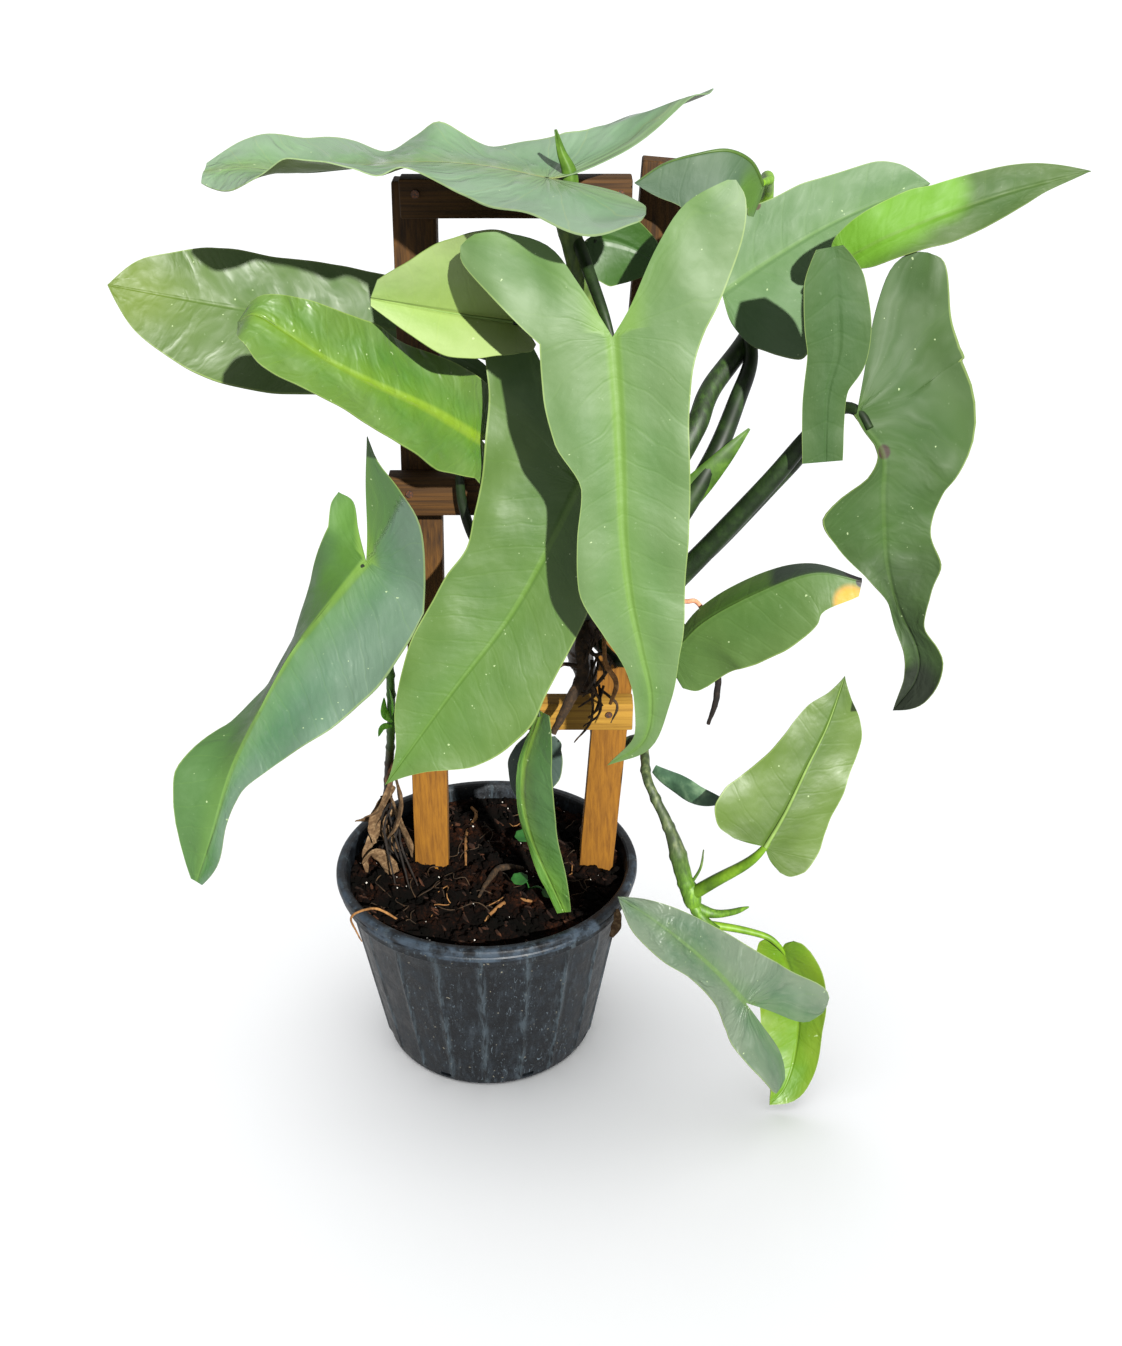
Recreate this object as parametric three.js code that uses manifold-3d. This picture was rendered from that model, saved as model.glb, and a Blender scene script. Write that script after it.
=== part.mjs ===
// A potted philodendron hastatum on a small timber trellis.
// Millimetres, +Z up, pot standing on z = 0, +X to the right and +Y away from the front.
import * as THREE from 'three';
import Module from 'manifold-3d';

const wasm = await Module();
wasm.setup();

// Driving sizes
const POT = { rimRadius: 150, lipInner: 139.5, baseRadius: 107, height: 200, wall: 3 };
const SOIL_LEVEL = 188;
const CLEARANCE = 0.3;
const BLADE_THICKNESS = 1.1;
const POST = { width: 34, depth: 20 };
const RAIL = { depth: 20 };

const vec = (p) => new THREE.Vector3(p[0], p[1], p[2]);
const radians = (degrees) => degrees * Math.PI / 180;
const clamp = (value, low, high) => Math.min(Math.max(value, low), high);

// Smooth curve helpers

function smoothPath(points, count) {
  if (points.length === 2) points = [points[0], vec(points[0]).lerp(vec(points[1]), 0.5).toArray(), points[1]];
  const curve = new THREE.CatmullRomCurve3(points.map(vec), false, 'catmullrom', 0.5);
  curve.arcLengthDivisions = 400;
  return { points: curve.getSpacedPoints(count), length: curve.getLength() };
}

// Shape-preserving interpolation through (xs, ys).
function smoothThrough(xs, ys) {
  const n = xs.length;
  const h = xs.slice(1).map((x, i) => x - xs[i]);
  const slope = h.map((step, i) => (ys[i + 1] - ys[i]) / step);
  const tangent = new Array(n).fill(0);
  for (let i = 1; i < n - 1; i++) {
    if (slope[i - 1] * slope[i] <= 0) continue;
    const w1 = 2 * h[i] + h[i - 1];
    const w2 = h[i] + 2 * h[i - 1];
    tangent[i] = (w1 + w2) / (w1 / slope[i - 1] + w2 / slope[i]);
  }
  const edge = (h0, h1, m0, m1) => {
    const d = ((2 * h0 + h1) * m0 - h0 * m1) / (h0 + h1);
    if (d * m0 <= 0) return 0;
    if (m0 * m1 <= 0 && Math.abs(d) > 3 * Math.abs(m0)) return 3 * m0;
    return d;
  };
  if (n === 2) tangent.fill(slope[0]);
  else {
    tangent[0] = edge(h[0], h[1], slope[0], slope[1]);
    tangent[n - 1] = edge(h[n - 2], h[n - 3], slope[n - 2], slope[n - 3]);
  }
  return (x) => {
    x = clamp(x, xs[0], xs[n - 1]);
    let i = 0;
    while (i < n - 2 && x > xs[i + 1]) i++;
    const t = (x - xs[i]) / h[i];
    const a = 2 * t ** 3 - 3 * t ** 2 + 1;
    const b = t ** 3 - 2 * t ** 2 + t;
    const c = -2 * t ** 3 + 3 * t ** 2;
    const d = t ** 3 - t ** 2;
    return a * ys[i] + b * h[i] * tangent[i] + c * ys[i + 1] + d * h[i] * tangent[i + 1];
  };
}

const evenly = (count) => Array.from({ length: count }, (_, i) => i / (count - 1));
const linearThrough = (values) => {
  const last = values.length - 1;
  return (t) => {
    const x = clamp(t, 0, 1) * last;
    const i = Math.min(Math.floor(x), last - 1);
    return last === 0 ? values[0] : values[i] + (values[i + 1] - values[i]) * (x - i);
  };
};

// Solids

function toSolid(vertices, triangles) {
  const mesh = new wasm.Mesh({
    numProp: 3,
    vertProperties: new Float32Array(vertices.flat()),
    triVerts: new Uint32Array(triangles.flat()),
  });
  mesh.merge();
  return new wasm.Manifold(mesh);
}

const unite = (solids) => solids.reduce((sum, solid) => sum.add(solid));

// Keeps the biggest piece of a solid, so a trimmed stem leaves no crumbs behind.
function largest(solid) {
  const pieces = solid.decompose();
  return pieces.reduce((best, piece) => (piece.volume() > best.volume() ? piece : best));
}

// A round stem along a path, its radius running through `radii` from end to end.
function stemSolid(points, radii, { sides = 6, rings = 10, grow = 0, flat = 1 } = {}) {
  const path = smoothPath(points, rings).points;
  const radius = smoothThrough(evenly(radii.length), radii);
  const vertices = [];
  const triangles = [];
  let across = null;
  path.forEach((point, i) => {
    const before = path[Math.max(i - 1, 0)];
    const after = path[Math.min(i + 1, rings)];
    const along = after.clone().sub(before).normalize();
    if (!across) across = Math.abs(along.z) < 0.9 ? new THREE.Vector3(0, 0, 1) : new THREE.Vector3(1, 0, 0);
    across = across.clone().addScaledVector(along, -across.dot(along)).normalize();
    const other = along.clone().cross(across);
    const r = radius(i / rings) + grow;
    const overrun = i === 0 ? -grow : i === rings ? grow : 0;
    for (let k = 0; k < sides; k++) {
      const angle = 2 * Math.PI * k / sides;
      const corner = point.clone().addScaledVector(along, overrun);
      corner.addScaledVector(across, Math.cos(angle) * r);
      corner.addScaledVector(other, Math.sin(angle) * (r * flat + (1 - flat) * grow));
      vertices.push(corner.toArray());
    }
  });
  for (let i = 0; i < rings; i++) {
    for (let k = 0; k < sides; k++) {
      const a = i * sides + k;
      const b = i * sides + (k + 1) % sides;
      triangles.push([a, b, b + sides], [a, b + sides, a + sides]);
    }
  }
  for (let k = 1; k < sides - 1; k++) {
    triangles.push([0, k + 1, k]);
    triangles.push([rings * sides, rings * sides + k, rings * sides + k + 1]);
  }
  return toSolid(vertices, triangles);
}

// Four corners of a bar's rectangular section round `centre`; one side faces the viewer.
function barCorners(centre, along, width, depth) {
  const front = new THREE.Vector3(0, -1, 0).addScaledVector(along, along.y).normalize();
  const side = front.clone().cross(along);
  return [[-1, -1], [1, -1], [1, 1], [-1, 1]].map(([u, v]) => {
    const corner = centre.clone().addScaledVector(side, u * width / 2);
    return corner.addScaledVector(front, v * depth / 2).toArray();
  });
}

function barSolid(start, end, width, depth, grow = 0) {
  const along = vec(end).sub(vec(start)).normalize();
  const ends = [vec(start).addScaledVector(along, -grow), vec(end).addScaledVector(along, grow)];
  return wasm.Manifold.hull(ends.flatMap((end) => barCorners(end, along, width + 2 * grow, depth + 2 * grow)));
}

// The sharpened end of a stake below its full section at `foot`.
function stakePoint(point, foot, head, grow) {
  const along = vec(head).sub(vec(foot)).normalize();
  const tip = vec(point).addScaledVector(along, -grow);
  const full = barCorners(vec(foot).addScaledVector(along, 1), along, POST.width + 2 * grow, POST.depth + 2 * grow);
  return wasm.Manifold.hull([...full, ...barCorners(tip, along, 8 + 2 * grow, 6 + 2 * grow)]);
}

// Turned body from a closed profile of [radius, height] pairs starting and ending on the axis.
function turned(profile, segments) {
  const points = profile.map(([r, z]) => new THREE.Vector2(r, z));
  const geometry = new THREE.LatheGeometry(points, segments);
  const position = geometry.getAttribute('position');
  const vertices = [];
  for (let i = 0; i < position.count; i++) {
    const onAxis = Math.hypot(position.getX(i), position.getZ(i)) < 1e-6;
    vertices.push(onAxis ? [0, 0, position.getY(i)] : [position.getX(i), -position.getZ(i), position.getY(i)]);
  }
  const index = Array.from(geometry.getIndex().array);
  const triangles = [];
  for (let i = 0; i < index.length; i += 3) triangles.push([index[i], index[i + 1], index[i + 2]]);
  const weld = weldVertices(vertices, triangles);
  const solid = toSolid(weld.vertices, weld.triangles);
  return solid.volume() > 0 ? solid : toSolid(weld.vertices, weld.triangles.map(([a, b, c]) => [a, c, b]));
}

function weldVertices(vertices, triangles) {
  const seen = new Map();
  const kept = [];
  const remap = vertices.map((v) => {
    const key = v.map((c) => Math.round(c * 1000)).join(',');
    if (!seen.has(key)) {
      seen.set(key, kept.length);
      kept.push(v);
    }
    return seen.get(key);
  });
  const clean = triangles.map((t) => t.map((i) => remap[i])).filter(([a, b, c]) => a !== b && b !== c && c !== a);
  return { vertices: kept, triangles: clean };
}

// Leaf blades
//
// A blade follows its midrib from the leaf joint to the tip. `face` is the way its
// upper side looks. Side l lies to the left of the midrib seen from above the blade,
// side r to the right. Half widths are even steps from the joint; the tip closes them.
// A lobe is drawn flat as [along, across] from the joint, along being negative
// behind it: its tip, then points down its outer edge and down its inner edge.

class Blade {
  constructor(shape) {
    this.shape = shape;
    this.steps = 80;
    const path = smoothPath(shape.midrib, this.steps);
    this.length = path.length;
    this.points = path.points;
    const faces = shape.face.map((f) => vec(f).normalize());
    this.frames = this.points.map((point, i) => {
      const before = this.points[Math.max(i - 1, 0)];
      const after = this.points[Math.min(i + 1, this.steps)];
      const along = after.clone().sub(before).normalize();
      const t = i / this.steps * (faces.length - 1);
      const k = Math.min(Math.floor(t), Math.max(faces.length - 2, 0));
      const up = faces[k].clone().lerp(faces[Math.min(k + 1, faces.length - 1)], t - k);
      up.addScaledVector(along, -up.dot(along)).normalize();
      return { point, along, up, left: up.clone().cross(along) };
    });
    this.sides = {};
    for (const name of ['l', 'r']) {
      const side = shape[name];
      const widths = [...side.widths, 0];
      const rim = side.rim ?? [[0, 0], [1, 0]];
      this.sides[name] = {
        width: smoothThrough(evenly(widths.length), widths),
        widest: Math.max(...widths),
        shoulder: widths[0],
        fold: linearThrough(side.fold ?? shape.fold ?? [8, 4]),
        curl: side.curl ?? shape.curl ?? 0,
        rim: smoothThrough(rim.map((p) => p[0]), rim.map((p) => p[1])),
        lobe: side.lobe,
        lift: side.lift ?? 0,
      };
    }
  }

  frameAt(x) {
    if (x <= 0) {
      const first = this.frames[0];
      return { ...first, point: first.point.clone().addScaledVector(first.along, x) };
    }
    const t = Math.min(x / this.length, 1) * this.steps;
    const k = Math.min(Math.floor(t), this.steps - 1);
    const mix = (key) => this.frames[k][key].clone().lerp(this.frames[k + 1][key], t - k);
    return { point: mix('point'), along: mix('along'), up: mix('up').normalize(), left: mix('left').normalize() };
  }

  place(name, x, w) {
    const side = this.sides[name];
    const frame = this.frameAt(x);
    const f = clamp(x / this.length, 0, 1);
    const out = name === 'l' ? frame.left : frame.left.clone().negate();
    const fold = radians(side.fold(f));
    const bend = radians(side.curl) / side.widest;
    let reach = Math.cos(fold) * w;
    let rise = Math.sin(fold) * w;
    if (Math.abs(bend) > 1e-6) {
      reach = (Math.sin(fold + bend * w) - Math.sin(fold)) / bend;
      rise = (Math.cos(fold) - Math.cos(fold + bend * w)) / bend;
    }
    rise += side.rim(f) * clamp(w / Math.max(side.width(f), 1), 0, 1.15) ** 1.5;
    if (x < 0) rise += side.lift * Math.min(-x / 80, 2) ** 1.3;
    return frame.point.clone().addScaledVector(out, reach).addScaledVector(frame.up, rise);
  }

  // Rows of [inner, outer] flat points from the lobe tip (or the joint) to the leaf tip.
  rows(name, lobeRows, bladeRows) {
    const side = this.sides[name];
    const list = [];
    if (side.lobe) {
      const flat = (points) => smoothPath(points.map(([x, w]) => [x, w, 0]), lobeRows).points;
      const outer = flat([side.lobe.tip, ...side.lobe.outer, [0, side.shoulder]]);
      const inner = flat([side.lobe.tip, ...side.lobe.inner, [0, 0]]);
      for (let i = 0; i < lobeRows; i++) list.push([[inner[i].x, inner[i].y], [outer[i].x, outer[i].y]]);
    }
    for (let i = 0; i <= bladeRows; i++) {
      const f = i / bladeRows;
      list.push([[f * this.length, 0], [f * this.length, side.width(f)]]);
    }
    return list;
  }

  solid(lobeRows, bladeRows, columns) {
    const sheet = { vertices: [], triangles: [], ribs: [] };
    for (const name of ['l', 'r']) {
      const rows = this.rows(name, lobeRows, bladeRows);
      const grid = rows.map(([inner, outer]) => Array.from({ length: columns + 1 }, (_, j) => {
        const t = j / columns;
        const x = inner[0] + (outer[0] - inner[0]) * t;
        const w = inner[1] + (outer[1] - inner[1]) * t;
        sheet.vertices.push(this.place(name, x, w).toArray());
        return sheet.vertices.length - 1;
      }));
      for (let i = 0; i < grid.length - 1; i++) {
        for (let j = 0; j < columns; j++) {
          const [a, b, c, d] = [grid[i][j], grid[i][j + 1], grid[i + 1][j + 1], grid[i + 1][j]];
          const faces = name === 'l' ? [[a, d, c], [a, c, b]] : [[a, c, d], [a, b, c]];
          sheet.triangles.push(...faces);
        }
      }
    }
    const midribStart = this.shape.ribRoot ?? 3;
    return thickened(sheet, (point) => {
      const nearest = this.points.reduce((best, p, i) => {
        const distance = p.distanceTo(point);
        return distance < best.distance ? { distance, i } : best;
      }, { distance: 1e9, i: 0 });
      const swell = nearest.distance < 1.5 ? midribStart * (1 - nearest.i / this.steps) : 0;
      return swell;
    });
  }
}

// Gives a thin sheet its thickness; `swell` adds depth to the underside along the midrib.
function thickened(sheet, swell) {
  const welded = weldVertices(sheet.vertices, sheet.triangles);
  const { vertices, triangles } = welded;
  const normals = vertices.map(() => new THREE.Vector3());
  const edges = new Map();
  for (const tri of triangles) {
    const [a, b, c] = tri.map((i) => vec(vertices[i]));
    const normal = b.clone().sub(a).cross(c.clone().sub(a)).normalize();
    tri.forEach((i) => normals[i].add(normal));
    tri.forEach((i, k) => {
      const j = tri[(k + 1) % 3];
      edges.set(`${i},${j}`, [i, j]);
    });
  }
  const top = [];
  const bottom = [];
  vertices.forEach((v, i) => {
    const normal = normals[i].normalize();
    const point = vec(v);
    top.push(point.clone().addScaledVector(normal, BLADE_THICKNESS / 2).toArray());
    bottom.push(point.clone().addScaledVector(normal, -BLADE_THICKNESS / 2 - swell(point)).toArray());
  });
  const n = vertices.length;
  const faces = [];
  for (const [a, b, c] of triangles) faces.push([a, b, c], [a + n, c + n, b + n]);
  for (const [i, j] of edges.values()) {
    if (!edges.has(`${j},${i}`)) faces.push([j, i, i + n], [j, i + n, j + n]);
  }
  return toSolid([...top, ...bottom], faces);
}

const lobe = (tip, outer, inner) => ({ tip, outer, inner });
const side = (widths, lobeShape, extra = {}) => ({ widths, lobe: lobeShape, ...extra });

// Leaf table
//
// Each leaf: the midrib from joint to tip, the way the upper side faces, both halves, and
// the petiole from the joint back to where it leaves its stem with its two radii.

const LEAVES = {
  centre_front: {
    midrib: [[111, -160, 759], [115, -168, 715], [118, -176, 665], [121, -183, 612], [127, -188, 565],
      [136, -191, 524], [145, -192, 481], [140, -188, 441], [112, -178, 413]],
    face: [[0, -1, 0.25], [0, -1, 0.15]], fold: [12, 6], curl: -12,
    l: side([67, 54, 51, 51, 49, 44, 38, 26, 13, 7],
      lobe([-98, 94], [[-84, 100], [-58, 96], [-22, 80]], [[-98, 86], [-85, 57], [-57, 35], [-21, 15]])),
    r: side([53, 54, 48, 30, 35, 38, 26, 15, 13, 8],
      lobe([-72, 102], [[-60, 102], [-37, 85], [-14, 66]], [[-79, 90], [-77, 66], [-65, 39], [-38, 21]])),
    petiole: [[111, -157, 757], [104, -145, 775], [95, -125, 796], [88, -106, 812], [84, -98, 816]],
    radii: [3.5, 5], stem: 'main',
  },
  left_hanging: {
    midrib: [[89, -105, 628], [65, -115, 581], [31, -125, 521], [-18, -138, 457], [-75, -150, 377]],
    face: [[-0.2, -1, 0.2], [-0.1, -1, 0.3]], fold: [8, 4], curl: -8,
    l: side([56, 52, 50, 54, 57, 62, 69, 65, 52, 20],
      lobe([-58, 42], [[-50, 56], [-25, 60]], [[-50, 26], [-25, 9]])),
    r: side([84, 73, 65, 58, 61, 58, 54, 44, 30, 9],
      lobe([-86, 104], [[-80, 114], [-60, 114], [-30, 96]], [[-82, 86], [-62, 58], [-30, 18]])),
    petiole: [[89, -103, 627], [98, -96, 640], [108, -84, 655], [112, -76, 660]],
    radii: [3.5, 5], stem: 'main',
  },
  far_left: {
    midrib: [[-38, 34, 714], [-109, 28, 726], [-197, 12, 742], [-297, 0, 763]],
    face: [[0, -1, 0.6]], fold: [8, 4],
    l: side([50, 56, 62, 66, 68, 70, 68, 62, 50, 34], lobe([-50, 50], [[-30, 58]], [[-34, 20]])),
    r: side([42, 44, 45, 47, 47, 47, 48, 45, 38, 28], lobe([-50, 44], [[-30, 52]], [[-34, 18]])),
    petiole: [[-42, 35, 713], [-10, 40, 700], [40, 22, 690], [76, -30, 684], [98, -80, 680]],
    radii: [3.5, 5.5], stem: 'main',
  },
  left_front: {
    midrib: [[10, -74, 655], [-28, -103, 689], [-69, -130, 718], [-99, -146, 740], [-124, -158, 762],
      [-143, -162, 775], [-159, -150, 767]],
    face: [[-0.2, -0.7, 0.7], [-0.2, -0.7, 0.7], [-0.5, -0.5, 0.7]], fold: [10, 5],
    l: side([33, 40, 46, 42, 37, 34, 31, 30, 33, 26], lobe([-30, 30], [[-20, 36]], [[-22, 12]]), { fold: [-2, 5] }),
    r: side([45, 44, 43, 43, 43, 44, 41, 36, 30, 18], lobe([-40, 44], [[-24, 50]], [[-28, 18]])),
    petiole: [[8, -74, 653], [-6, -70, 640], [-8, -66, 600], [8, -66, 555], [50, -64, 512], [100, -62, 496]],
    radii: [3.5, 5.5], stem: 'main',
  },
  left_underside: {
    midrib: [[39, -82, 752], [-13, -106, 765], [-65, -130, 780]],
    face: [[0, 1, 0.35]], fold: [0, 0],
    l: side([70, 75, 74, 66, 53, 36], lobe([-20, 50], [[-12, 62]], [[-14, 20]])),
    r: side([30, 36, 44, 36, 20, 10], lobe([-20, 28], [[-12, 34]], [[-14, 12]]), { fold: [-72, -55] }),
    petiole: [[37, -84, 751], [56, -84, 756], [76, -86, 764], [94, -87, 768]],
    radii: [3, 5], stem: 'main',
  },
  top: {
    midrib: [[65, -115, 861], [16, -108, 869], [-42, -100, 870], [-115, -95, 863], [-158, -95, 866],
      [-185, -95, 863]],
    face: [[0, 0, 1]], fold: [0, 0], bladeRows: 20,
    l: side([80, 72, 62, 57, 56, 56, 56, 54, 48, 34],
      lobe([-76, 50], [[-72, 68], [-52, 84], [-24, 86]], [[-72, 32], [-52, 14], [-22, 2]]), {
        lift: 6,
        rim: [[0, -16], [0.1, -14], [0.2, -10], [0.3, -4], [0.36, 4], [0.42, -12], [0.5, 4], [0.6, 14],
          [0.7, 16], [0.8, 2], [0.93, -14], [1, 0]],
      }),
    r: side([56, 58, 58, 56, 56, 58, 60, 58, 52, 40],
      lobe([-100, 96], [[-80, 100], [-46, 84], [-20, 64]], [[-94, 74], [-66, 42], [-28, 14]]), {
        lift: 34,
        rim: [[0, 22], [0.1, 10], [0.2, 6], [0.3, 15], [0.36, 20], [0.42, 10], [0.5, 3], [0.6, 13], [0.7, 18],
          [0.8, 19], [0.9, 14], [1, 2]],
      }),
    petiole: [[60, -114, 860], [66, -114, 858], [71, -110, 850], [74, -106, 842]],
    radii: [3.5, 5], stem: 'main',
  },
  behind_centre: {
    midrib: [[96, -87, 816], [122, -87, 810], [155, -86, 794]],
    face: [[0, -1, 0.1]], fold: [0, 0], small: true,
    l: side([12, 18, 20, 16, 10], lobe([-6, 6], [[-3, 9]], [[-3, 3]])),
    r: side([18, 30, 32, 26, 14], lobe([-6, 10], [[-3, 14]], [[-3, 3]])),
    petiole: [[100, -87, 814], [95, -85, 804], [91, -88, 792], [91, -92, 780]],
    radii: [2.5, 4], stem: 'main',
  },
  back_right: {
    midrib: [[227, -60, 850], [215, -72, 868], [196, -82, 877], [175, -86, 875], [150, -86, 868], [128, -86, 854]],
    face: [[0.5, 0, 0.8], [0, 0, 1], [0, 0, 1]], fold: [-70, -80],
    l: side([24, 48, 62, 56, 44, 32], lobe([-10, 24], [[-4, 28]], [[-6, 10]])),
    r: side([18, 36, 44, 44, 38, 26], lobe([-12, 22], [[-6, 26]], [[-6, 8]]), { fold: [-45, -60, -84, -88, -88] }),
    petiole: [[225, -62, 851], [234, -34, 849], [238, 8, 845], [243, 44, 824], [240, 40, 780], [236, 16, 727],
      [198, -26, 684], [184, -50, 658], [158, -66, 620], [118, -76, 590]],
    radii: [3, 8], stem: 'main',
  },
  right: {
    midrib: [[204, -15, 760], [235, -5, 779], [283, 5, 806], [331, 15, 826], [372, 22, 839]],
    face: [[0.1, -1, 0.7]], fold: [6, 4],
    l: side([52, 52, 50, 44, 40, 39, 36, 34, 32, 24], lobe([-40, 54], [[-24, 60]], [[-28, 20]])),
    r: side([62, 84, 78, 68, 59, 49, 39, 29, 20, 10], lobe([-9, 40], [[-6, 52]], [[-8, 22]])),
    petiole: [[207, -12, 760], [222, 3, 746], [232, -8, 708], [219, -34, 676], [197, -62, 632], [162, -74, 576],
      [126, -70, 540]],
    radii: [4, 8.5], stem: 'main',
  },
  far_right: {
    midrib: [[290, -75, 798], [327, -82, 819], [400, -75, 844], [471, -60, 859]],
    face: [[0.1, -1, 0.6]], fold: [8, 4],
    l: side([18, 23, 25, 26, 23, 22, 21, 19, 15, 9], lobe([-8, 8], [[-5, 14]], [[-5, 3]])),
    r: side([9, 17, 19, 20, 22, 21, 18, 13, 7, 3], lobe([-5, 4], [[-3, 7]], [[-3, 2]])),
    petiole: [[294, -76, 799], [290, -80, 785], [288, -92, 748], [284, -98, 703], [269, -93, 658],
      [243, -82, 618], [190, -64, 548], [150, -62, 520], [120, -62, 508]],
    radii: [3, 6.5], stem: 'main',
  },
  right_torn: {
    midrib: [[298, -130, 694], [305, -134, 684], [319, -140, 664], [322, -144, 630], [329, -146, 581],
      [341, -150, 544], [361, -152, 505], [363, -150, 477], [349, -145, 446]],
    face: [[0.1, -1, 0.3], [0.1, -1, 0.2]], fold: [4, 0],
    l: side([92, 76, 52, 44, 32, 30, 18, 8, 14, 11],
      lobe([-72, 108], [[-60, 115], [-40, 110], [-16, 100]], [[-79, 96], [-78, 80], [-64, 60], [-40, 36]])),
    r: side([3, 3, 14, 50, 36, 17, 6, 10, 12, 8]),
    strip: {
      midrib: [[269, -128, 816], [275, -131, 779], [279, -133, 743], [274, -134, 713], [275, -134, 682],
        [277, -134, 657]],
      face: [[0, -1, 0.2]], fold: [0, 0], ribRoot: 0.5,
      l: side([8, 22, 24, 22, 14, 12]),
      r: side([12, 24, 25, 22, 16, 14]),
    },
    petiole: [[308, -136, 684], [300, -132, 694], [288, -131, 693], [270, -129, 676], [238, -106, 628],
      [186, -86, 556], [150, -76, 512], [122, -66, 486]],
    radii: [4, 9], stem: 'main',
  },
  lower_right: {
    midrib: [[167, -112, 481], [192, -122, 516], [234, -132, 547], [275, -140, 567], [312, -145, 562]],
    face: [[0, -1, 0.5]], fold: [-30, -30],
    l: side([22, 20, 18, 16, 16, 12], lobe([-16, 12], [[-10, 20]], [[-10, 5]])),
    r: side([40, 46, 50, 50, 44, 26], lobe([-16, 26], [[-10, 36]], [[-10, 10]]), { fold: [0, -6] }),
    petiole: [[170, -112, 484], [160, -106, 475], [142, -90, 464], [122, -72, 456], [104, -44, 462]],
    radii: [3, 5.5], stem: 'main',
  },
  trailing_upright: {
    midrib: [[256, -120, 294], [273, -112, 325], [292, -100, 367], [308, -90, 402], [321, -80, 445]],
    face: [[0.1, 1, 0.2]], fold: [0, 0],
    l: side([46, 47, 43, 41, 41, 39, 38, 35, 26, 11],
      lobe([-16, 26], [[-15, 36], [-6, 44]], [[-10, 12]])),
    r: side([50, 62, 60, 52, 44, 37, 32, 28, 22, 8], lobe([-5, 30], [[-3, 44]], [[-3, 14]])),
    petiole: [[259, -120, 298], [250, -118, 283], [239, -110, 266], [217, -96, 240], [198, -86, 218]],
    radii: [3, 5], stem: 'trailing',
  },
  trailing_low: {
    midrib: [[242, -165, 154], [206, -175, 205], [160, -185, 257], [122, -195, 294]],
    face: [[0.1, -0.7, 0.7]], fold: [3, 0],
    l: side([31, 24, 21, 25, 20],
      lobe([-102, 32], [[-95, 41], [-62, 41], [-21, 37]], [[-98, 20], [-69, 8], [-31, 3]])),
    r: side([47, 38, 30, 23, 14],
      lobe([-90, 48], [[-82, 60], [-62, 63], [-30, 54]], [[-84, 34], [-67, 23], [-30, 11]])),
    petiole: [[240, -164, 157], [238, -148, 150], [226, -122, 162], [212, -102, 188]],
    radii: [2.5, 4], stem: 'trailing',
  },
  trailing_behind: {
    midrib: [[284, -100, 163], [302, -104, 106], [303, -114, 54], [293, -130, 22], [277, -141, 7]],
    face: [[0, -1, 0.2]], fold: [0, 0], small: true,
    l: side([14, 20, 24, 24, 24, 20]),
    r: side([20, 32, 36, 36, 34, 26]),
    petiole: [[287, -100, 158], [279, -101, 170], [268, -99, 178], [243, -96, 184], [214, -95, 189]],
    radii: [2.5, 4], stem: 'trailing',
  },
  left_drooping: {
    midrib: [[-89, -78, 551], [-124, -94, 514], [-154, -108, 479], [-183, -126, 431], [-206, -140, 386],
      [-228, -148, 325], [-247, -148, 276]],
    face: [[-0.4, -1, 0.2], [-0.3, -1, 0.2]], fold: [8, 4],
    l: side([69, 77, 80, 77, 68, 49, 30, 14, 8, 8],
      lobe([-66, -58], [[-58, -38], [-55, -5], [-46, 30]], [[-42, -38], [-18, -14]]), { lift: 17 }),
    r: side([48, 48, 44, 40, 40, 42, 48, 50, 42, 26],
      lobe([-28, 62], [[-16, 60]], [[-30, 46], [-16, 26]]), { fold: [-10, -42, -64, -66, -46, -4, 8, 0] }),
    petiole: [[-92, -80, 548], [-90, -68, 540], [-89, -46, 508], [-87, -30, 465], [-84, -22, 438]],
    radii: [3, 4], stem: 'left',
  },
  low_centre: {
    midrib: [[56, -70, 404], [48, -85, 353], [53, -92, 293], [73, -97, 205]],
    face: [[-0.3, -1, 0.2]], fold: [0, 0], small: true,
    l: side([8, 26, 36, 30, 21]),
    r: side([10, 20, 20, 18, 12], null, { fold: [60, 70, 70, 60, 30] }),
    petiole: [[55, -72, 400], [58, -84, 416], [76, -88, 442], [96, -80, 468], [105, -54, 484]],
    radii: [2.5, 4], stem: 'main',
  },
  low_behind: {
    midrib: [[54, -28, 350], [45, -34, 324], [35, -38, 290]],
    face: [[-0.1, -1, 0.3]], fold: [8, 4], small: true,
    l: side([22, 28, 30, 26, 18], lobe([-10, 12], [[-6, 20]], [[-5, 4]])),
    r: side([14, 20, 22, 18, 12], lobe([-8, 8], [[-5, 12]], [[-5, 3]])),
    petiole: [[53, -28, 347], [60, -14, 352], [84, 8, 346], [108, 26, 334]],
    radii: [2, 3], stem: 'main',
  },
};

// Stems and roots: paths from the bottom up with the radius along them

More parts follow.
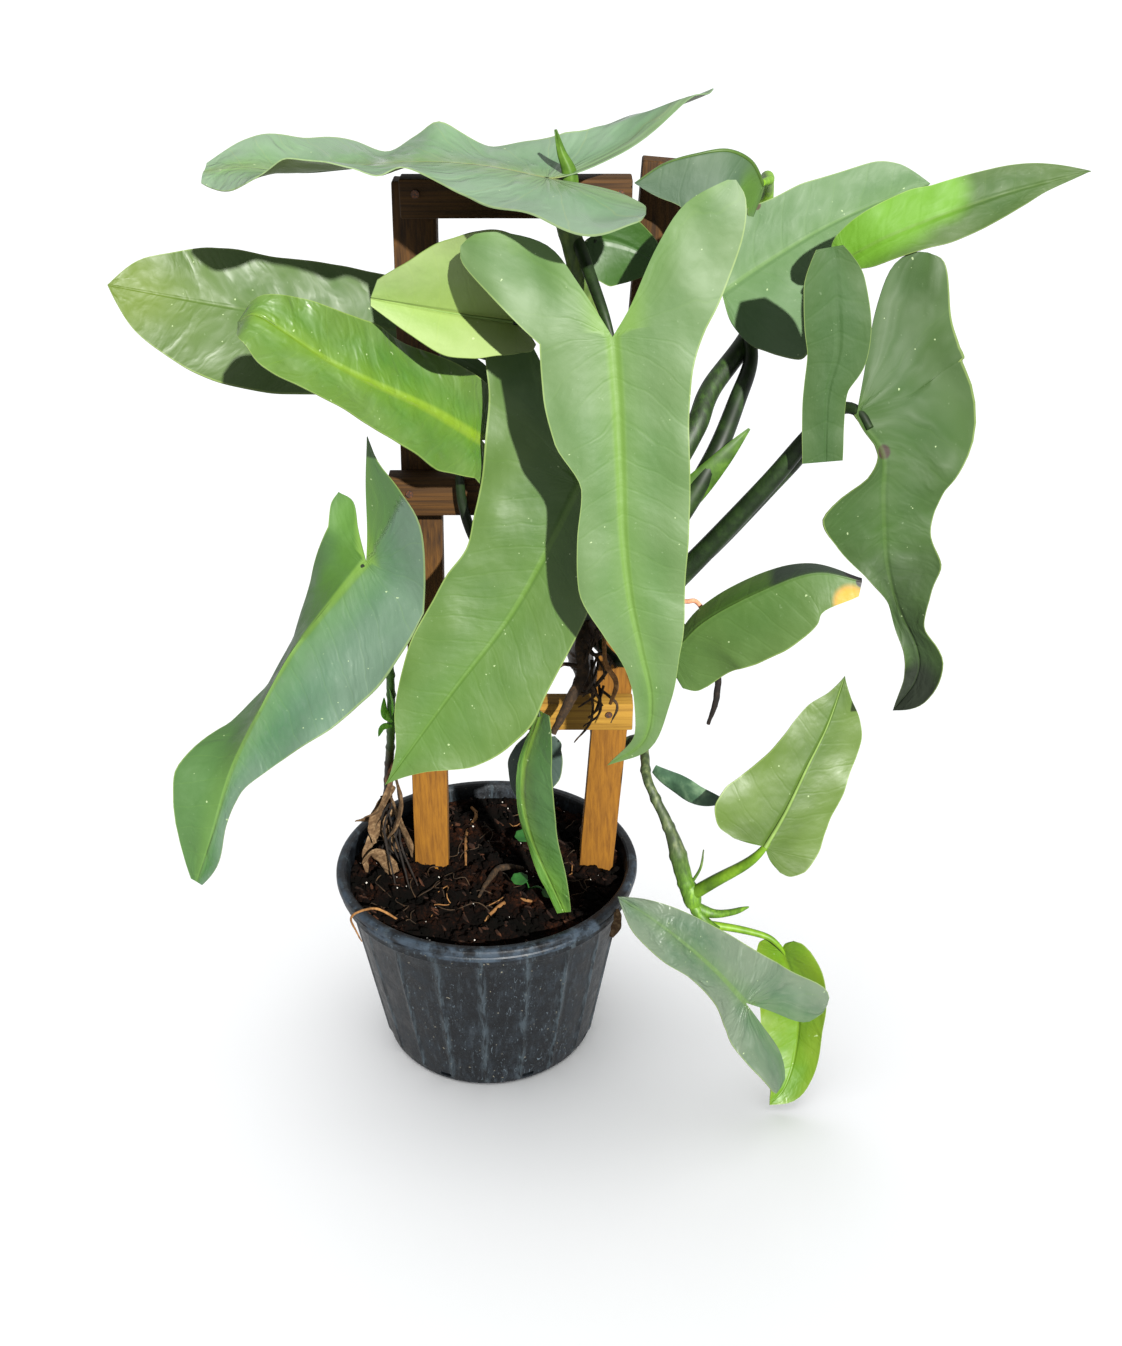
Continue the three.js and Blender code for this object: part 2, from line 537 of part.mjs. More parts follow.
const STEMS = {
  main: {
    path: [[100, 54, 140], [104, 53, 190], [113, 44, 250], [112, 34, 330], [98, 22, 395], [90, -8, 434], [98, -44, 466],
      [114, -60, 500], [120, -70, 560], [116, -74, 620], [106, -80, 690], [94, -90, 770], [74, -104, 843]],
    radii: [10, 11, 10, 10, 11, 10, 11, 10, 10.5, 9.5, 9, 8], sides: 8, rings: 30,
  },
  left: {
    path: [[-102, 58, 150], [-107, 60, 200], [-99, 42, 270], [-88, 8, 357], [-83, -18, 436]],
    radii: [4.5, 4.5, 4.5, 4, 4], sides: 6, rings: 12,
  },
  trailing: {
    path: [[118, 34, 300], [146, 18, 326], [152, -18, 338], [153, -54, 328], [161, -68, 312], [171, -74, 292],
      [180, -79, 268], [189, -83, 236], [197, -88, 210], [208, -95, 195], [221, -103, 188]],
    radii: [6, 6, 6, 6, 5.5, 5.5, 6, 8, 7.5, 5, 4], sides: 6, rings: 22,
    buds: [
      { path: [[194, -84, 226], [199, -88, 208]], radii: [8.5, 8.8], rings: 2 },
      { path: [[199, -88, 205], [216, -91, 199], [233, -95, 203], [249, -100, 213]], radii: [5.5, 4.5, 3.2, 2.4], rings: 8 },
      { path: [[196, -84, 228], [204, -84, 246], [206, -84, 266]], radii: [1.6, 1.3, 1.0], rings: 4 },
    ],
  },
};

const ROOTS = {
  climbing_root: {
    stem: 'main',
    parts: [
      { path: [[98, -54, 474], [88, -64, 462], [82, -68, 420], [74, -73, 392], [64, -76, 366]], radii: [5, 6, 5, 4, 2.5] },
      { path: [[84, -66, 438], [72, -70, 440], [62, -70, 450]], radii: [1.6, 1.6, 1.2], rings: 6 },
      { path: [[86, -66, 444], [98, -66, 440], [110, -74, 452], [118, -80, 470]], radii: [1.6, 1.8, 1.6, 1.4], rings: 6 },
      { path: [[83, -67, 430], [96, -70, 428], [112, -72, 438]], radii: [1.5, 1.6, 1.4], rings: 6 },
    ],
  },
  hanging_root: {
    stem: 'main', petioles: ['right_torn', 'far_right', 'right'],
    parts: [{ path: [[120, -62, 508], [150, -70, 500], [192, -84, 486], [207, -94, 462], [208, -98, 432], [202, -98, 407]],
      radii: [3, 3, 2.6, 2.6, 2.8, 1.8], rings: 12 }],
  },
  pale_root: {
    stem: 'main', petioles: ['right_torn', 'far_right', 'right'],
    parts: [{ path: [[124, -66, 545], [150, -78, 530], [176, -88, 520], [187, -92, 521], [195, -94, 508], [188, -90, 492]],
      radii: [2.4, 2.4, 2.2, 2, 2, 1.4], rings: 12 }],
  },
  dry_root: {
    stem: 'main',
    parts: [{ path: [[112, -60, 488], [112, -84, 462], [122, -84, 440], [117, -86, 420]], radii: [2, 2, 2.4, 1.6], rings: 8 }],
  },
};

const stemOf = (name, grow = 0) => {
  const { path, radii, sides, rings, buds = [] } = STEMS[name];
  const parts = [{ path, radii, sides, rings }, ...buds];
  return unite(parts.map((part) => stemSolid(part.path, part.radii, { ...part, grow })));
};

const solids = {};

// Pot: tapered wall, a stepped band under the lip, eight drain slots at the foot

function potRadiusOutside(z) {
  return POT.baseRadius + (138 - POT.baseRadius) * z / 172;
}

const potProfile = [
  [0, 0], [100, 0], [105.5, 1.5], [POT.baseRadius + 1, 6], [potRadiusOutside(60), 60],
  [potRadiusOutside(120), 120], [potRadiusOutside(172), 172], [141, 175], [142, 186], [146, 188],
  [POT.rimRadius, 191.5], [POT.rimRadius, 196.5], [147, POT.height], [142, POT.height], [POT.lipInner, 197],
  [137.5, 186], [potRadiusOutside(172) - POT.wall, 172], [potRadiusOutside(60) - POT.wall, 60],
  [POT.baseRadius - POT.wall + 0.5, 8], [98, 4], [0, 4],
];
let pot = turned(potProfile, 48);
for (let i = 0; i < 8; i++) {
  const slot = wasm.Manifold.cube([26, 12, 5], true).translate([105, 0, 6.5]);
  pot = pot.subtract(slot.rotate([0, 0, 22.5 + 45 * i]));
}
solids.pot = pot;

// Trellis: two posts leaning a little forward and apart, three rails nailed on in front

const POSTS = {
  post_left: { point: [-58, 20, 70], foot: [-57.6, 16.8, 128], head: [-37, -49.5, 852] },
  post_right: { point: [101, 17, 84], foot: [106.5, 15.4, 144], head: [152.1, -50.8, 867] },
};
const LEAN = 60 / 655;
const postFrontY = (z) => LEAN * (200 - z);
const RAILS = {
  rail_top: { z: 842.5, height: 29, from: -46, to: 127 },
  rail_middle: { z: 601, height: 34, from: -70, to: 152 },
  rail_lower: { z: 380.5, height: 29, from: -72, to: 140 },
};
function postBar(name, grow = 0) {
  const { point, foot, head } = POSTS[name];
  return barSolid(foot, head, POST.width, POST.depth, grow).add(stakePoint(point, foot, head, grow));
}

// Soil: one body that fills the pot, with a lumpy top and plain holes for all that stands in it

function soilHeight(x, y) {
  const r = Math.hypot(x, y);
  const lumps = 3.2 * Math.sin(x / 13 + 1.1) * Math.cos(y / 17 - 0.4) + 2.2 * Math.sin((x + y) / 7.5) + 1.6 * Math.cos((x - 2 * y) / 11);
  return SOIL_LEVEL + lumps * clamp((134 - r) / 20, 0, 1) - 4 * clamp((r - 90) / 46, 0, 1);
}

function soilSolid() {
  const gap = CLEARANCE;
  const inside = (z) => potRadiusOutside(z) - POT.wall - gap;
  const rings = [[0, 4.3], [97.5, 4.3], [POT.baseRadius - POT.wall + 0.1, 8.2], [inside(60), 60], [inside(172), 172], [136.6, 183.6]];
  const segments = 36;
  const vertices = [];
  const triangles = [];
  const ring = (r, z) => {
    const start = vertices.length;
    for (let k = 0; k < segments; k++) {
      const angle = 2 * Math.PI * k / segments;
      const x = r * Math.cos(angle);
      const y = r * Math.sin(angle);
      vertices.push([x, y, z ?? soilHeight(x, y)]);
    }
    return start;
  };
  const starts = rings.slice(1).map(([r, z]) => ring(r, z));
  for (const r of [120, 98, 76, 54, 30]) starts.push(ring(r));
  const bottom = vertices.push([0, 0, 4.3]) - 1;
  const top = vertices.push([0, 0, soilHeight(0, 0)]) - 1;
  for (let k = 0; k < segments; k++) {
    const next = (k + 1) % segments;
    triangles.push([bottom, starts[0] + next, starts[0] + k]);
    triangles.push([top, starts.at(-1) + k, starts.at(-1) + next]);
    for (let s = 0; s < starts.length - 1; s++) {
      const [a, b] = [starts[s], starts[s + 1]];
      triangles.push([a + k, a + next, b + next], [a + k, b + next, b + k]);
    }
  }
  return toSolid(vertices, triangles);
}

for (const name of Object.keys(POSTS)) solids[name] = postBar(name);
for (const [name, rail] of Object.entries(RAILS)) {
  const y = postFrontY(rail.z) - (CLEARANCE + RAIL.depth / 2) / Math.cos(Math.atan(LEAN)) - 0.15;
  const bar = wasm.Manifold.cube([rail.to - rail.from, RAIL.depth, rail.height], true);
  const tilt = Math.atan(LEAN) * 180 / Math.PI;
  solids[name] = bar.rotate([tilt, 0, 0]).translate([(rail.from + rail.to) / 2, y, rail.z]);
}

// Nails: one through each crossing, head standing on the rail face

const NAILS = [
  ['rail_top', -34], ['rail_top', 118], ['rail_middle', -52], ['rail_middle', 138], ['rail_lower', -60],
  ['rail_lower', 118],
];
NAILS.forEach(([rail, x], i) => {
  const z = RAILS[rail].z + 3;
  const face = postFrontY(z) - CLEARANCE - RAIL.depth - 0.5;
  const shank = wasm.Manifold.cylinder(16, 1.3, 1.3, 8);
  const head = wasm.Manifold.cylinder(1.2, 3.2, 3.2, 10).translate([0, 0, -1.2]);
  const placeNail = (solid) => solid.rotate([5.23 - 90, 0, 0]).translate([x, face, z]);
  const hole = wasm.Manifold.cylinder(16.6, 1.3 + CLEARANCE, 1.3 + CLEARANCE, 8);
  solids[rail] = solids[rail].subtract(placeNail(hole));
  solids[`nail_${i + 1}`] = placeNail(shank.translate([0, 0, -0.1]).add(head).translate([0, 0, -0.5]));
});

// Living parts

for (const name of Object.keys(STEMS)) solids[`stem_${name}`] = stemOf(name);
solids.stem_trailing = largest(solids.stem_trailing.subtract(stemOf('main', CLEARANCE)));

// The stalk of a leaf, from just inside the blade to the middle of its stem.
function petioleSolid(leaf, grow = 0) {
  const [thin, thick] = leaf.radii;
  const bends = leaf.petiole.length;
  const rest = Array.from({ length: bends - 2 }, (_, i) => thin + (thick - thin) * Math.sqrt((i + 1) / (bends - 2)));
  return stemSolid(leaf.petiole, [thin * 0.5, thin * 1.1, ...rest], { rings: Math.max(5, bends + 2), grow });
}

// Trims a body back to the surface of the stem and petioles it springs from.
function trimmed(body, stem, petioles = []) {
  const cutters = [stemOf(stem, CLEARANCE), ...petioles.map((leaf) => petioleSolid(LEAVES[leaf], CLEARANCE))];
  return largest(body.subtract(unite(cutters)));
}

for (const [name, root] of Object.entries(ROOTS)) {
  const parts = root.parts.map((part) => stemSolid(part.path, part.radii, { sides: 5, rings: part.rings ?? 10 }));
  solids[name] = trimmed(unite(parts), root.stem, root.petioles);
}

// Sheaths: a pointed split one on the right, the new leaf spike on top, bracts beside the pot

const SHEATHS = {
  new_leaf: { path: [[80, -101, 838], [80, -104, 862], [74, -106, 878], [70, -107, 893]], radii: [5, 6, 3.6, 0.8], stem: 'main' },
  split_sheath: { path: [[132, -72, 560], [160, -72, 586], [182, -70, 610], [204, -68, 635], [227, -62, 661]],
    radii: [8, 8, 8, 6, 0.9], flat: 0.45, stem: 'main', petioles: ['right', 'back_right', 'right_torn', 'far_right'] },
  trailing_bract: { path: [[160, -52, 332], [166, -56, 330], [180, -62, 324], [200, -78, 321], [221, -92, 326]],
    radii: [4, 7, 9, 6, 2], flat: 0.3, stem: 'trailing' },
};
for (const [name, sheath] of Object.entries(SHEATHS)) {
  const body = stemSolid(sheath.path, sheath.radii, { sides: 6, rings: 8, flat: sheath.flat ?? 1 });
  solids[name] = trimmed(body, sheath.stem, sheath.petioles);
}

// Leaves

for (const [name, leaf] of Object.entries(LEAVES)) {
  const blade = new Blade(leaf);
  const lobeRows = leaf.small ? 3 : 5;
  const bladeRows = leaf.bladeRows ?? (leaf.small ? 8 : 11);
  const columns = leaf.small ? 2 : 3;
  const pieces = [blade.solid(lobeRows, bladeRows, columns)];
  if (leaf.strip) pieces.push(new Blade(leaf.strip).solid(0, 8, 2));
  pieces.push(petioleSolid(leaf));
  solids[`leaf_${name}`] = largest(unite(pieces).subtract(stemOf(leaf.stem, CLEARANCE)));
}
solids.leaf_top = largest(solids.leaf_top.subtract(stemSolid(SHEATHS.new_leaf.path, SHEATHS.new_leaf.radii,
  { sides: 6, rings: 8, grow: CLEARANCE })));

// Things lying on or growing from the soil

const litter = {
  soil_root_back: { path: [[-22, 114, 186], [-16, 92, 190], [-24, 66, 187], [-24, 40, 191], [-22, 6, 186]], radii: [1.6, 2, 1.8, 1.6, 1.2] },
  soil_root_front: { path: [[36, 0, 186], [14, -8, 193], [2, -30, 192], [-6, -50, 188]], radii: [2.6, 3.4, 2.6, 1.4] },
  soil_root_tan: { path: [[46, -56, 187], [26, -58, 191], [8, -78, 190], [-4, -104, 186]], radii: [1.4, 1.8, 1.6, 1.2] },
  rim_root: { path: [[-78, -84, 184], [-96, -80, 200], [-118, -88, 210], [-126, -94, 202]], radii: [1.2, 1.2, 1.2, 1.0] },
};
for (const [name, root] of Object.entries(litter)) solids[name] = stemSolid(root.path, root.radii, { sides: 5, rings: 10 });

const roundLeaf = ({ centre, size, tilt }) => wasm.Manifold.cylinder(0.9, size, size, 10, true)
  .scale([1, 0.85, 1]).rotate(tilt).translate(centre);
const seedlings = {
  seedling_front: {
    shoots: [[[44, -40, 180], [42, -40, 195], [38, -40, 203]], [[43, -40, 190], [51, -48, 199], [58, -55, 199]]],
    leaves: [{ centre: [34, -42, 203], size: 8.5, tilt: [-20, -10, 0] }, { centre: [62, -59, 199], size: 7, tilt: [-25, 12, 0] }],
  },
  seedling_back: {
    shoots: [[[46, 34, 180], [44, 34, 196], [41, 33, 204]]],
    leaves: [{ centre: [36, 32, 204], size: 9, tilt: [-25, -8, 0] }],
  },
};
const shootSolid = (path, grow = 0) => stemSolid(path, [1, 0.9, 0.8], { sides: 5, rings: 3, grow });
for (const [name, { shoots, leaves }] of Object.entries(seedlings)) {
  solids[name] = unite([...shoots.map((path) => shootSolid(path)), ...leaves.map(roundLeaf)]);
}

// Dry sheaths standing in the soil by the left rim
const drySheaths = {
  dry_sheath_upper: { path: [[-94, 30, 180], [-104, 28, 212], [-116, 20, 232], [-130, 8, 238]], radii: [3, 7, 6, 1.5] },
  dry_sheath_lower: { path: [[-92, -6, 180], [-100, -8, 202], [-112, -12, 214], [-122, -20, 206]], radii: [3, 8, 6, 1.5] },
};
const drySheath = (shape, grow = 0) => stemSolid(shape.path, shape.radii, { sides: 6, rings: 8, flat: 0.28, grow });
for (const [name, shape] of Object.entries(drySheaths)) solids[name] = drySheath(shape);

let soil = soilSolid();
for (const root of Object.values(litter)) {
  soil = soil.subtract(stemSolid(root.path, root.radii, { sides: 5, rings: 10, grow: CLEARANCE }));
}
for (const shape of Object.values(drySheaths)) soil = soil.subtract(drySheath(shape, CLEARANCE));
for (const { shoots } of Object.values(seedlings)) {
  for (const path of shoots) soil = soil.subtract(shootSolid(path, CLEARANCE));
}
for (const name of Object.keys(POSTS)) soil = soil.subtract(postBar(name, CLEARANCE));
for (const name of ['main', 'left']) soil = soil.subtract(stemOf(name, CLEARANCE));
solids.soil = soil;

// Colours and finishes by kind of part

const finish = {
  pot: ['#3f454b', 0.62], soil: ['#2a1a12', 0.98], post: ['#a9661f', 0.8], rail: ['#8f5a22', 0.82],
  nail: ['#3b3632', 0.6], stem: ['#4f6b2c', 0.6], climbing: ['#3a2716', 0.85], hanging: ['#1f1712', 0.85],
  pale: ['#c79a7e', 0.8], dry: ['#9a6a42', 0.9], new: ['#93c04c', 0.45], split: ['#5d8a35', 0.5],
  trailing: ['#5f8a5a', 0.5], leaf: ['#7fae72', 0.42], rim: ['#6b4a30', 0.85], seedling: ['#4f8a45', 0.5],
};

function toMesh(name, solid) {
  const mesh = solid.getMesh();
  const stride = mesh.numProp;
  const positions = new Float32Array(mesh.vertProperties.length / stride * 3);
  for (let i = 0; i < positions.length / 3; i++) {
    for (let k = 0; k < 3; k++) positions[3 * i + k] = mesh.vertProperties[stride * i + k];
  }
  const geometry = new THREE.BufferGeometry();
  geometry.setAttribute('position', new THREE.BufferAttribute(positions, 3));
  geometry.setIndex(new THREE.BufferAttribute(new Uint32Array(mesh.triVerts), 1));
  geometry.computeVertexNormals();
  const kind = name.startsWith('soil_root') ? 'rim' : name.split('_')[0];
  const [color, roughness] = finish[kind];
  const material = new THREE.MeshStandardMaterial({ color, roughness, metalness: kind === 'nail' ? 0.7 : 0 });
  const part = new THREE.Mesh(geometry, material);
  part.name = name;
  return part;
}

const group = new THREE.Group();
group.name = 'potted_philodendron';
for (const [name, solid] of Object.entries(solids)) group.add(toMesh(name, solid));

export default group;
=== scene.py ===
import math
import random
from functools import cached_property
import bpy
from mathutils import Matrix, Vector, noise


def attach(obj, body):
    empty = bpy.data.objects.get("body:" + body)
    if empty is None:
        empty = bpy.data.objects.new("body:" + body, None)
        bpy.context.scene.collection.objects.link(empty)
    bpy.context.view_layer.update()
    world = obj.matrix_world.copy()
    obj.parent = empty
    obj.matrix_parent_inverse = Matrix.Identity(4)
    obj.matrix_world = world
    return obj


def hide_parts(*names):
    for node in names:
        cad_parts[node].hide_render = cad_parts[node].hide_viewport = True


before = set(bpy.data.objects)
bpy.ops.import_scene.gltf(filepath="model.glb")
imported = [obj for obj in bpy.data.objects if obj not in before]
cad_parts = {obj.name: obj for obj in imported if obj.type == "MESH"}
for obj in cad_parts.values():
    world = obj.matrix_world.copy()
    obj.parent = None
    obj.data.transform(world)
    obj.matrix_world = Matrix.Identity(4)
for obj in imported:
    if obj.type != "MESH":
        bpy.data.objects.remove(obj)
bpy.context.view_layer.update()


# Camera, floor and light
# The plant is seen from standing height, a step and a half back, looking down at it.
# A pale floor under a bright even sky, and one hard lamp from the upper right on the plant.

bpy.ops.object.camera_add(location=(0.074, -1.164, 1.0), rotation=(math.radians(63), 0, 0))
camera = bpy.context.object
camera.data.lens = 37.44
camera.data.sensor_width = 36
bpy.context.scene.camera = camera


def linear(hex_colour):
    """Turns an sRGB hex value into the linear colour that Blender works in."""
    parts = [int(hex_colour[i:i + 2], 16) / 255 for i in (1, 3, 5)]
    return tuple(c / 12.92 if c <= 0.04045 else ((c + 0.055) / 1.055) ** 2.4 for c in parts) + (1.0,)


def feed(tree, socket, value):
    """Links a socket to another one, or sets it to a number, a vector or a hex colour."""
    if isinstance(value, bpy.types.NodeSocket):
        tree.links.new(value, socket)
    else:
        socket.default_value = linear(value) if isinstance(value, str) else value


def add_node(tree, kind, values):
    """Adds one shader node with its properties, its settings and its links."""
    node = tree.nodes.new("ShaderNode" + kind)
    for key, value in values.items():
        if isinstance(key, int) or key in node.inputs:
            feed(tree, node.inputs[key], value)
        else:
            setattr(node, key, value)
    return node


class Paint:
    """One material in the making: each function adds a node and gives its output."""

    def __init__(self, name, roughness=0.5, specular=0.5, metallic=0.0):
        self.material = bpy.data.materials.new(name)
        self.material.use_nodes = True
        self.tree = self.material.node_tree
        self.shader = self.tree.nodes["Principled BSDF"]
        for key, value in (("Roughness", roughness), ("Specular IOR Level", specular), ("Metallic", metallic)):
            self.shader.inputs[key].default_value = value

    def add(self, kind, values, output=0):
        """Any node by its kind."""
        return add_node(self.tree, kind, values).outputs[output]

    @cached_property
    def place(self):
        """Where on the plant a point lies, in metres."""
        return self.add("TexCoord", {}, "Object")

    def axes(self, vector):
        """The x, y and z of a vector."""
        return list(add_node(self.tree, "SeparateXYZ", {0: vector}).outputs)

    def stretched(self, scale, **settings):
        """Places scaled along each axis, so that a pattern on them runs one way."""
        return self.add("Mapping", {"Vector": self.place, "Scale": scale, **settings})

    def noise(self, scale, detail=2, roughness=0.5, distortion=0, on=None):
        """A cloudy pattern, on the places of the points unless others are given."""
        return self.add("TexNoise", {"Scale": scale, "Detail": detail, "Roughness": roughness,
                                     "Distortion": distortion, "Vector": on or self.place})

    def math(self, operation, *terms, kind="Math", output=0):
        """A sum on sockets and numbers."""
        return self.add(kind, {"operation": operation, **dict(enumerate(terms))}, output)

    def level(self, value, low, high, bottom=0.0, top=1.0, curve="LINEAR"):
        """A value between low and high moved to lie between bottom and top."""
        return self.add("MapRange", {"interpolation_type": curve, "From Min": low, "From Max": high,
                                     "To Min": bottom, "To Max": top, "Value": value})

    def rising(self, value, low, high, top=1.0):
        """A smooth share that goes from 0 at low to top at high."""
        return self.level(value, low, high, 0.0, top, "SMOOTHSTEP")

    def over(self, share, below, above):
        """One colour over another by a 0 to 1 share."""
        return self.add("Mix", {"data_type": "RGBA", 0: share, 6: below, 7: above}, 2)

    def ramp(self, factor, stops):
        """A colour ramp through {position: hex colour}."""
        node = add_node(self.tree, "ValToRGB", {0: factor})
        elements = node.color_ramp.elements
        while len(elements) < len(stops):
            elements.new(0.5)
        for element, (position, colour) in zip(elements, stops.items()):
            element.position = position
            element.color = linear(colour)
        return node.outputs[0]

    def bump(self, height, strength, distance, under=None):
        """Relief, laid over that of an earlier bump if one is given."""
        values = {"Strength": strength, "Distance": distance, "Height": height}
        return self.add("Bump", {**values, "Normal": under} if under else values)

    def coat(self, colour, normal=None, roughness=None):
        """Feeds the surface shader and gives the finished material."""
        for key, value in (("Base Color", colour), ("Normal", normal), ("Roughness", roughness)):
            if value:
                feed(self.tree, self.shader.inputs[key], value)
        return self.material


bpy.ops.mesh.primitive_plane_add(size=160, location=(0, 60, -0.0006))
floor = bpy.context.object
floor.name = "studio_floor"
# Matt white floor paint: flat, with no shine.
floor.data.materials.append(Paint("matt_white_floor_paint", 0.95, 0.0).coat("#FCFCFC"))


def sun_lamp(direction, energy, spread, receivers):
    """A sun from one direction, softened over an angle, with a collection that holds the floor."""
    bpy.ops.object.light_add(type="SUN")
    lamp = bpy.context.object
    lamp.rotation_euler = Vector(direction).to_track_quat("Z", "Y").to_euler()
    lamp.data.energy = energy
    lamp.data.angle = math.radians(spread)
    lamp.light_linking.receiver_collection = bpy.data.collections.new(receivers)
    lamp.light_linking.receiver_collection.objects.link(floor)
    return lamp


sun = sun_lamp((0.30, -0.84, 0.47), 13.5, 1.2, "lit_by_the_sky_alone")
sun.data.color = (1.0, 0.98, 0.94)
sun.light_linking.receiver_collection.collection_objects[0].light_linking.link_state = "EXCLUDE"
sun_lamp((-0.2, 0.25, 1), 1.3, 75, "lit_by_the_floor_lamp")
sky = bpy.data.worlds.new("even_sky")
bpy.context.scene.world = sky
sky.use_nodes = True
sky.node_tree.nodes["Background"].inputs["Color"].default_value = (0.97, 0.985, 1.0, 1)
sky.node_tree.nodes["Background"].inputs["Strength"].default_value = 0.8
bpy.context.scene.view_settings.view_transform = "Standard"


# Pot
# A 12-inch nursery pot moulded in black recycled polypropylene, with twenty thin ribs down
# its wall, two steps under a rolled lip and drain slots at the foot. Dusty and scuffed.

MM = 0.001
FULL_TURN = 2 * math.pi


def around(radius, angle):
    """The x and y of a point on a circle."""
    return radius * math.cos(angle), radius * math.sin(angle)


def held(value, low=0.0, high=1.0):
    """A value kept between two others."""
    return min(max(value, low), high)


def selected(pieces):
    """Selects these pieces alone, with the first one active."""
    bpy.ops.object.select_all(action="DESELECT")
    for piece in pieces:
        piece.select_set(True)
    bpy.context.view_layer.objects.active = pieces[0]


def joined(pieces):
    """Joins pieces into the first one."""
    selected(pieces)
    if len(pieces) > 1:
        bpy.ops.object.join()
    return pieces[0]


def merged(pieces, closed=True):
    """Joins pieces, merges their seams and, if they are closed, faces them outwards."""
    piece = joined(pieces)
    bpy.ops.object.mode_set(mode="EDIT")
    bpy.ops.mesh.select_all(action="SELECT")
    bpy.ops.mesh.remove_doubles(threshold=0.00002)
    if closed:
        bpy.ops.mesh.normals_make_consistent(inside=False)
    bpy.ops.object.mode_set(mode="OBJECT")
    return piece


def moulded(name, across, along, place):
    """Adds a flat grid and moves each of its points to place(u, t), in millimetres."""
    bpy.ops.mesh.primitive_grid_add(x_subdivisions=across, y_subdivisions=along, size=1)
    piece = bpy.context.object
    piece.name = name
    for point in piece.data.vertices:
        point.co = Vector(place(point.co.x + 0.5, point.co.y + 0.5)) * MM
    return piece


def apply_modifier(piece, kind, **settings):
    """Adds one modifier with its settings and applies it."""
    modifier = piece.modifiers.new(kind.title(), kind)
    for key, value in settings.items():
        setattr(modifier, key, value)
    selected([piece])
    bpy.ops.object.modifier_apply(modifier=modifier.name)


def finished(piece, slot, skin=None, nodes=(), smooth=60):
    """Smooths a piece, gives it its skin, rides it on the plant and hides the parts it replaces."""
    selected([piece])
    bpy.ops.object.shade_smooth_by_angle(angle=math.radians(smooth))
    if skin:
        piece.data.materials.append(skin)
    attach(piece, "root")
    if nodes:
        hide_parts(*nodes)


# Radius and height of the skin: from the middle of the floor up the inside and down the outside.
POT_PROFILE = [
    (0, 4), (60, 4), (98, 4), (103.5, 6), (104.5, 9), (114.5, 60), (124.6, 115), (134.5, 170), (137, 184),
    (139, 195), (140, 198.5), (142, 200), (147, 200), (149.2, 198.8), (150, 196.6), (150, 193.6), (147.4, 191.6),
    (147, 190.4), (148, 189.2), (148, 186), (145.4, 184.2), (144.8, 182.8), (145.2, 178.6), (142.4, 176),
    (139, 173), (138, 170), (133, 142), (128, 115), (123, 87), (118, 60), (113, 33), (109, 11), (107.6, 5),
    (105.6, 1.6), (102, 0.2), (98, 0), (60, 0), (0, 0),
]
LIP_STARTS, WALL_STARTS = 8, 24
WALL_FOOT, WALL_HEAD = 4, 171
RIB_COUNT, RIB_HEIGHT = 20, 1.7
SLOT_COUNT, SLOT_SIZE = 8, (0.03, 0.012, 0.005)


def pot_point(u, t):
    """A point of the pot's skin: t runs along the profile, u once round."""
    x = t * (len(POT_PROFILE) - 1)
    i = min(int(x), len(POT_PROFILE) - 2)
    radius, height = (a + (b - a) * (x - i) for a, b in zip(POT_PROFILE[i], POT_PROFILE[i + 1]))
    angle = FULL_TURN * u
    if i >= WALL_STARTS and WALL_FOOT < height < WALL_HEAD:
        rib = math.exp(-((RIB_COUNT * u + 0.5) % 1 - 0.5) ** 2 / 0.003)
        radius += RIB_HEIGHT * rib * min((WALL_HEAD - height) / 8, 1, (height - WALL_FOOT) / 6) - 0.6
    if i > LIP_STARTS:
        radius -= 0.25 + 0.25 * math.sin(5 * angle + height / 40)
    return *around(radius, angle), height


pot = merged([moulded("pot_shell", 360, (len(POT_PROFILE) - 1) * 2, pot_point)])
cutters = []
for i in range(SLOT_COUNT):
    angle = FULL_TURN * (i + 0.5) / SLOT_COUNT
    bpy.ops.mesh.primitive_cube_add(size=1, location=(*around(0.105, angle), 0.0075))
    cutters.append(bpy.context.object)
    cutters[-1].scale = SLOT_SIZE
    cutters[-1].rotation_euler.z = angle
cutter = joined(cutters)
apply_modifier(pot, "BOOLEAN", operation="DIFFERENCE", object=cutter, solver="EXACT")
bpy.data.objects.remove(cutter)

# Recycled polypropylene: blue-black, half matt, rubbed grey along the ribs, its lip lighter and bluer
# partly from wear and partly as a painted highlight; scratched and specked with dust.
plastic = Paint("recycled_black_polypropylene", specular=0.26)
x, y, z = plastic.axes(plastic.place)
streak = plastic.noise(3, 8, 0.7, on=plastic.stretched((70, 70, 7)))
dust = plastic.noise(55, 9, 0.75)
scratch = plastic.noise(1, 2, distortion=2.5, on=plastic.stretched((300, 300, 90), Rotation=(0.4, 0.2, 0)))
speck = plastic.noise(210)
rib = plastic.math("PINGPONG", plastic.math("ARCTAN2", y, x), math.pi / RIB_COUNT)
radius = plastic.math("LENGTH", plastic.math("MULTIPLY", plastic.place, (1, 1, 0), kind="VectorMath"),
                      kind="VectorMath", output="Value")
rubbed = plastic.math("MULTIPLY", plastic.rising(rib, 0.05, 0.0, 0.5), plastic.rising(streak, 0.42, 0.6))
# Lighter bluish colour on the outer lip: partly wear, partly a painted highlight along its ridges.
lip_wear_and_highlight = plastic.math("MULTIPLY", plastic.rising(z, 0.182, 0.188), plastic.rising(dust, 0.4, 0.62, 0.6))
outside = plastic.math("MULTIPLY", lip_wear_and_highlight, plastic.rising(radius, 0.143, 0.147))
colour = plastic.ramp(dust, {0.3: "#020203", 0.5: "#040609", 0.62: "#0A0F14", 0.8: "#19222A"})
for share, above in ((rubbed, "#343E44"), (plastic.rising(streak, 0.5, 0.7, 0.6), "#20262B"), (outside, "#2A3540"),
                     (plastic.rising(scratch, 0.66, 0.72, 0.6), "#455057"),
                     (plastic.rising(speck, 0.72, 0.75, 0.7), "#605D51")):
    colour = plastic.over(share, colour, above)
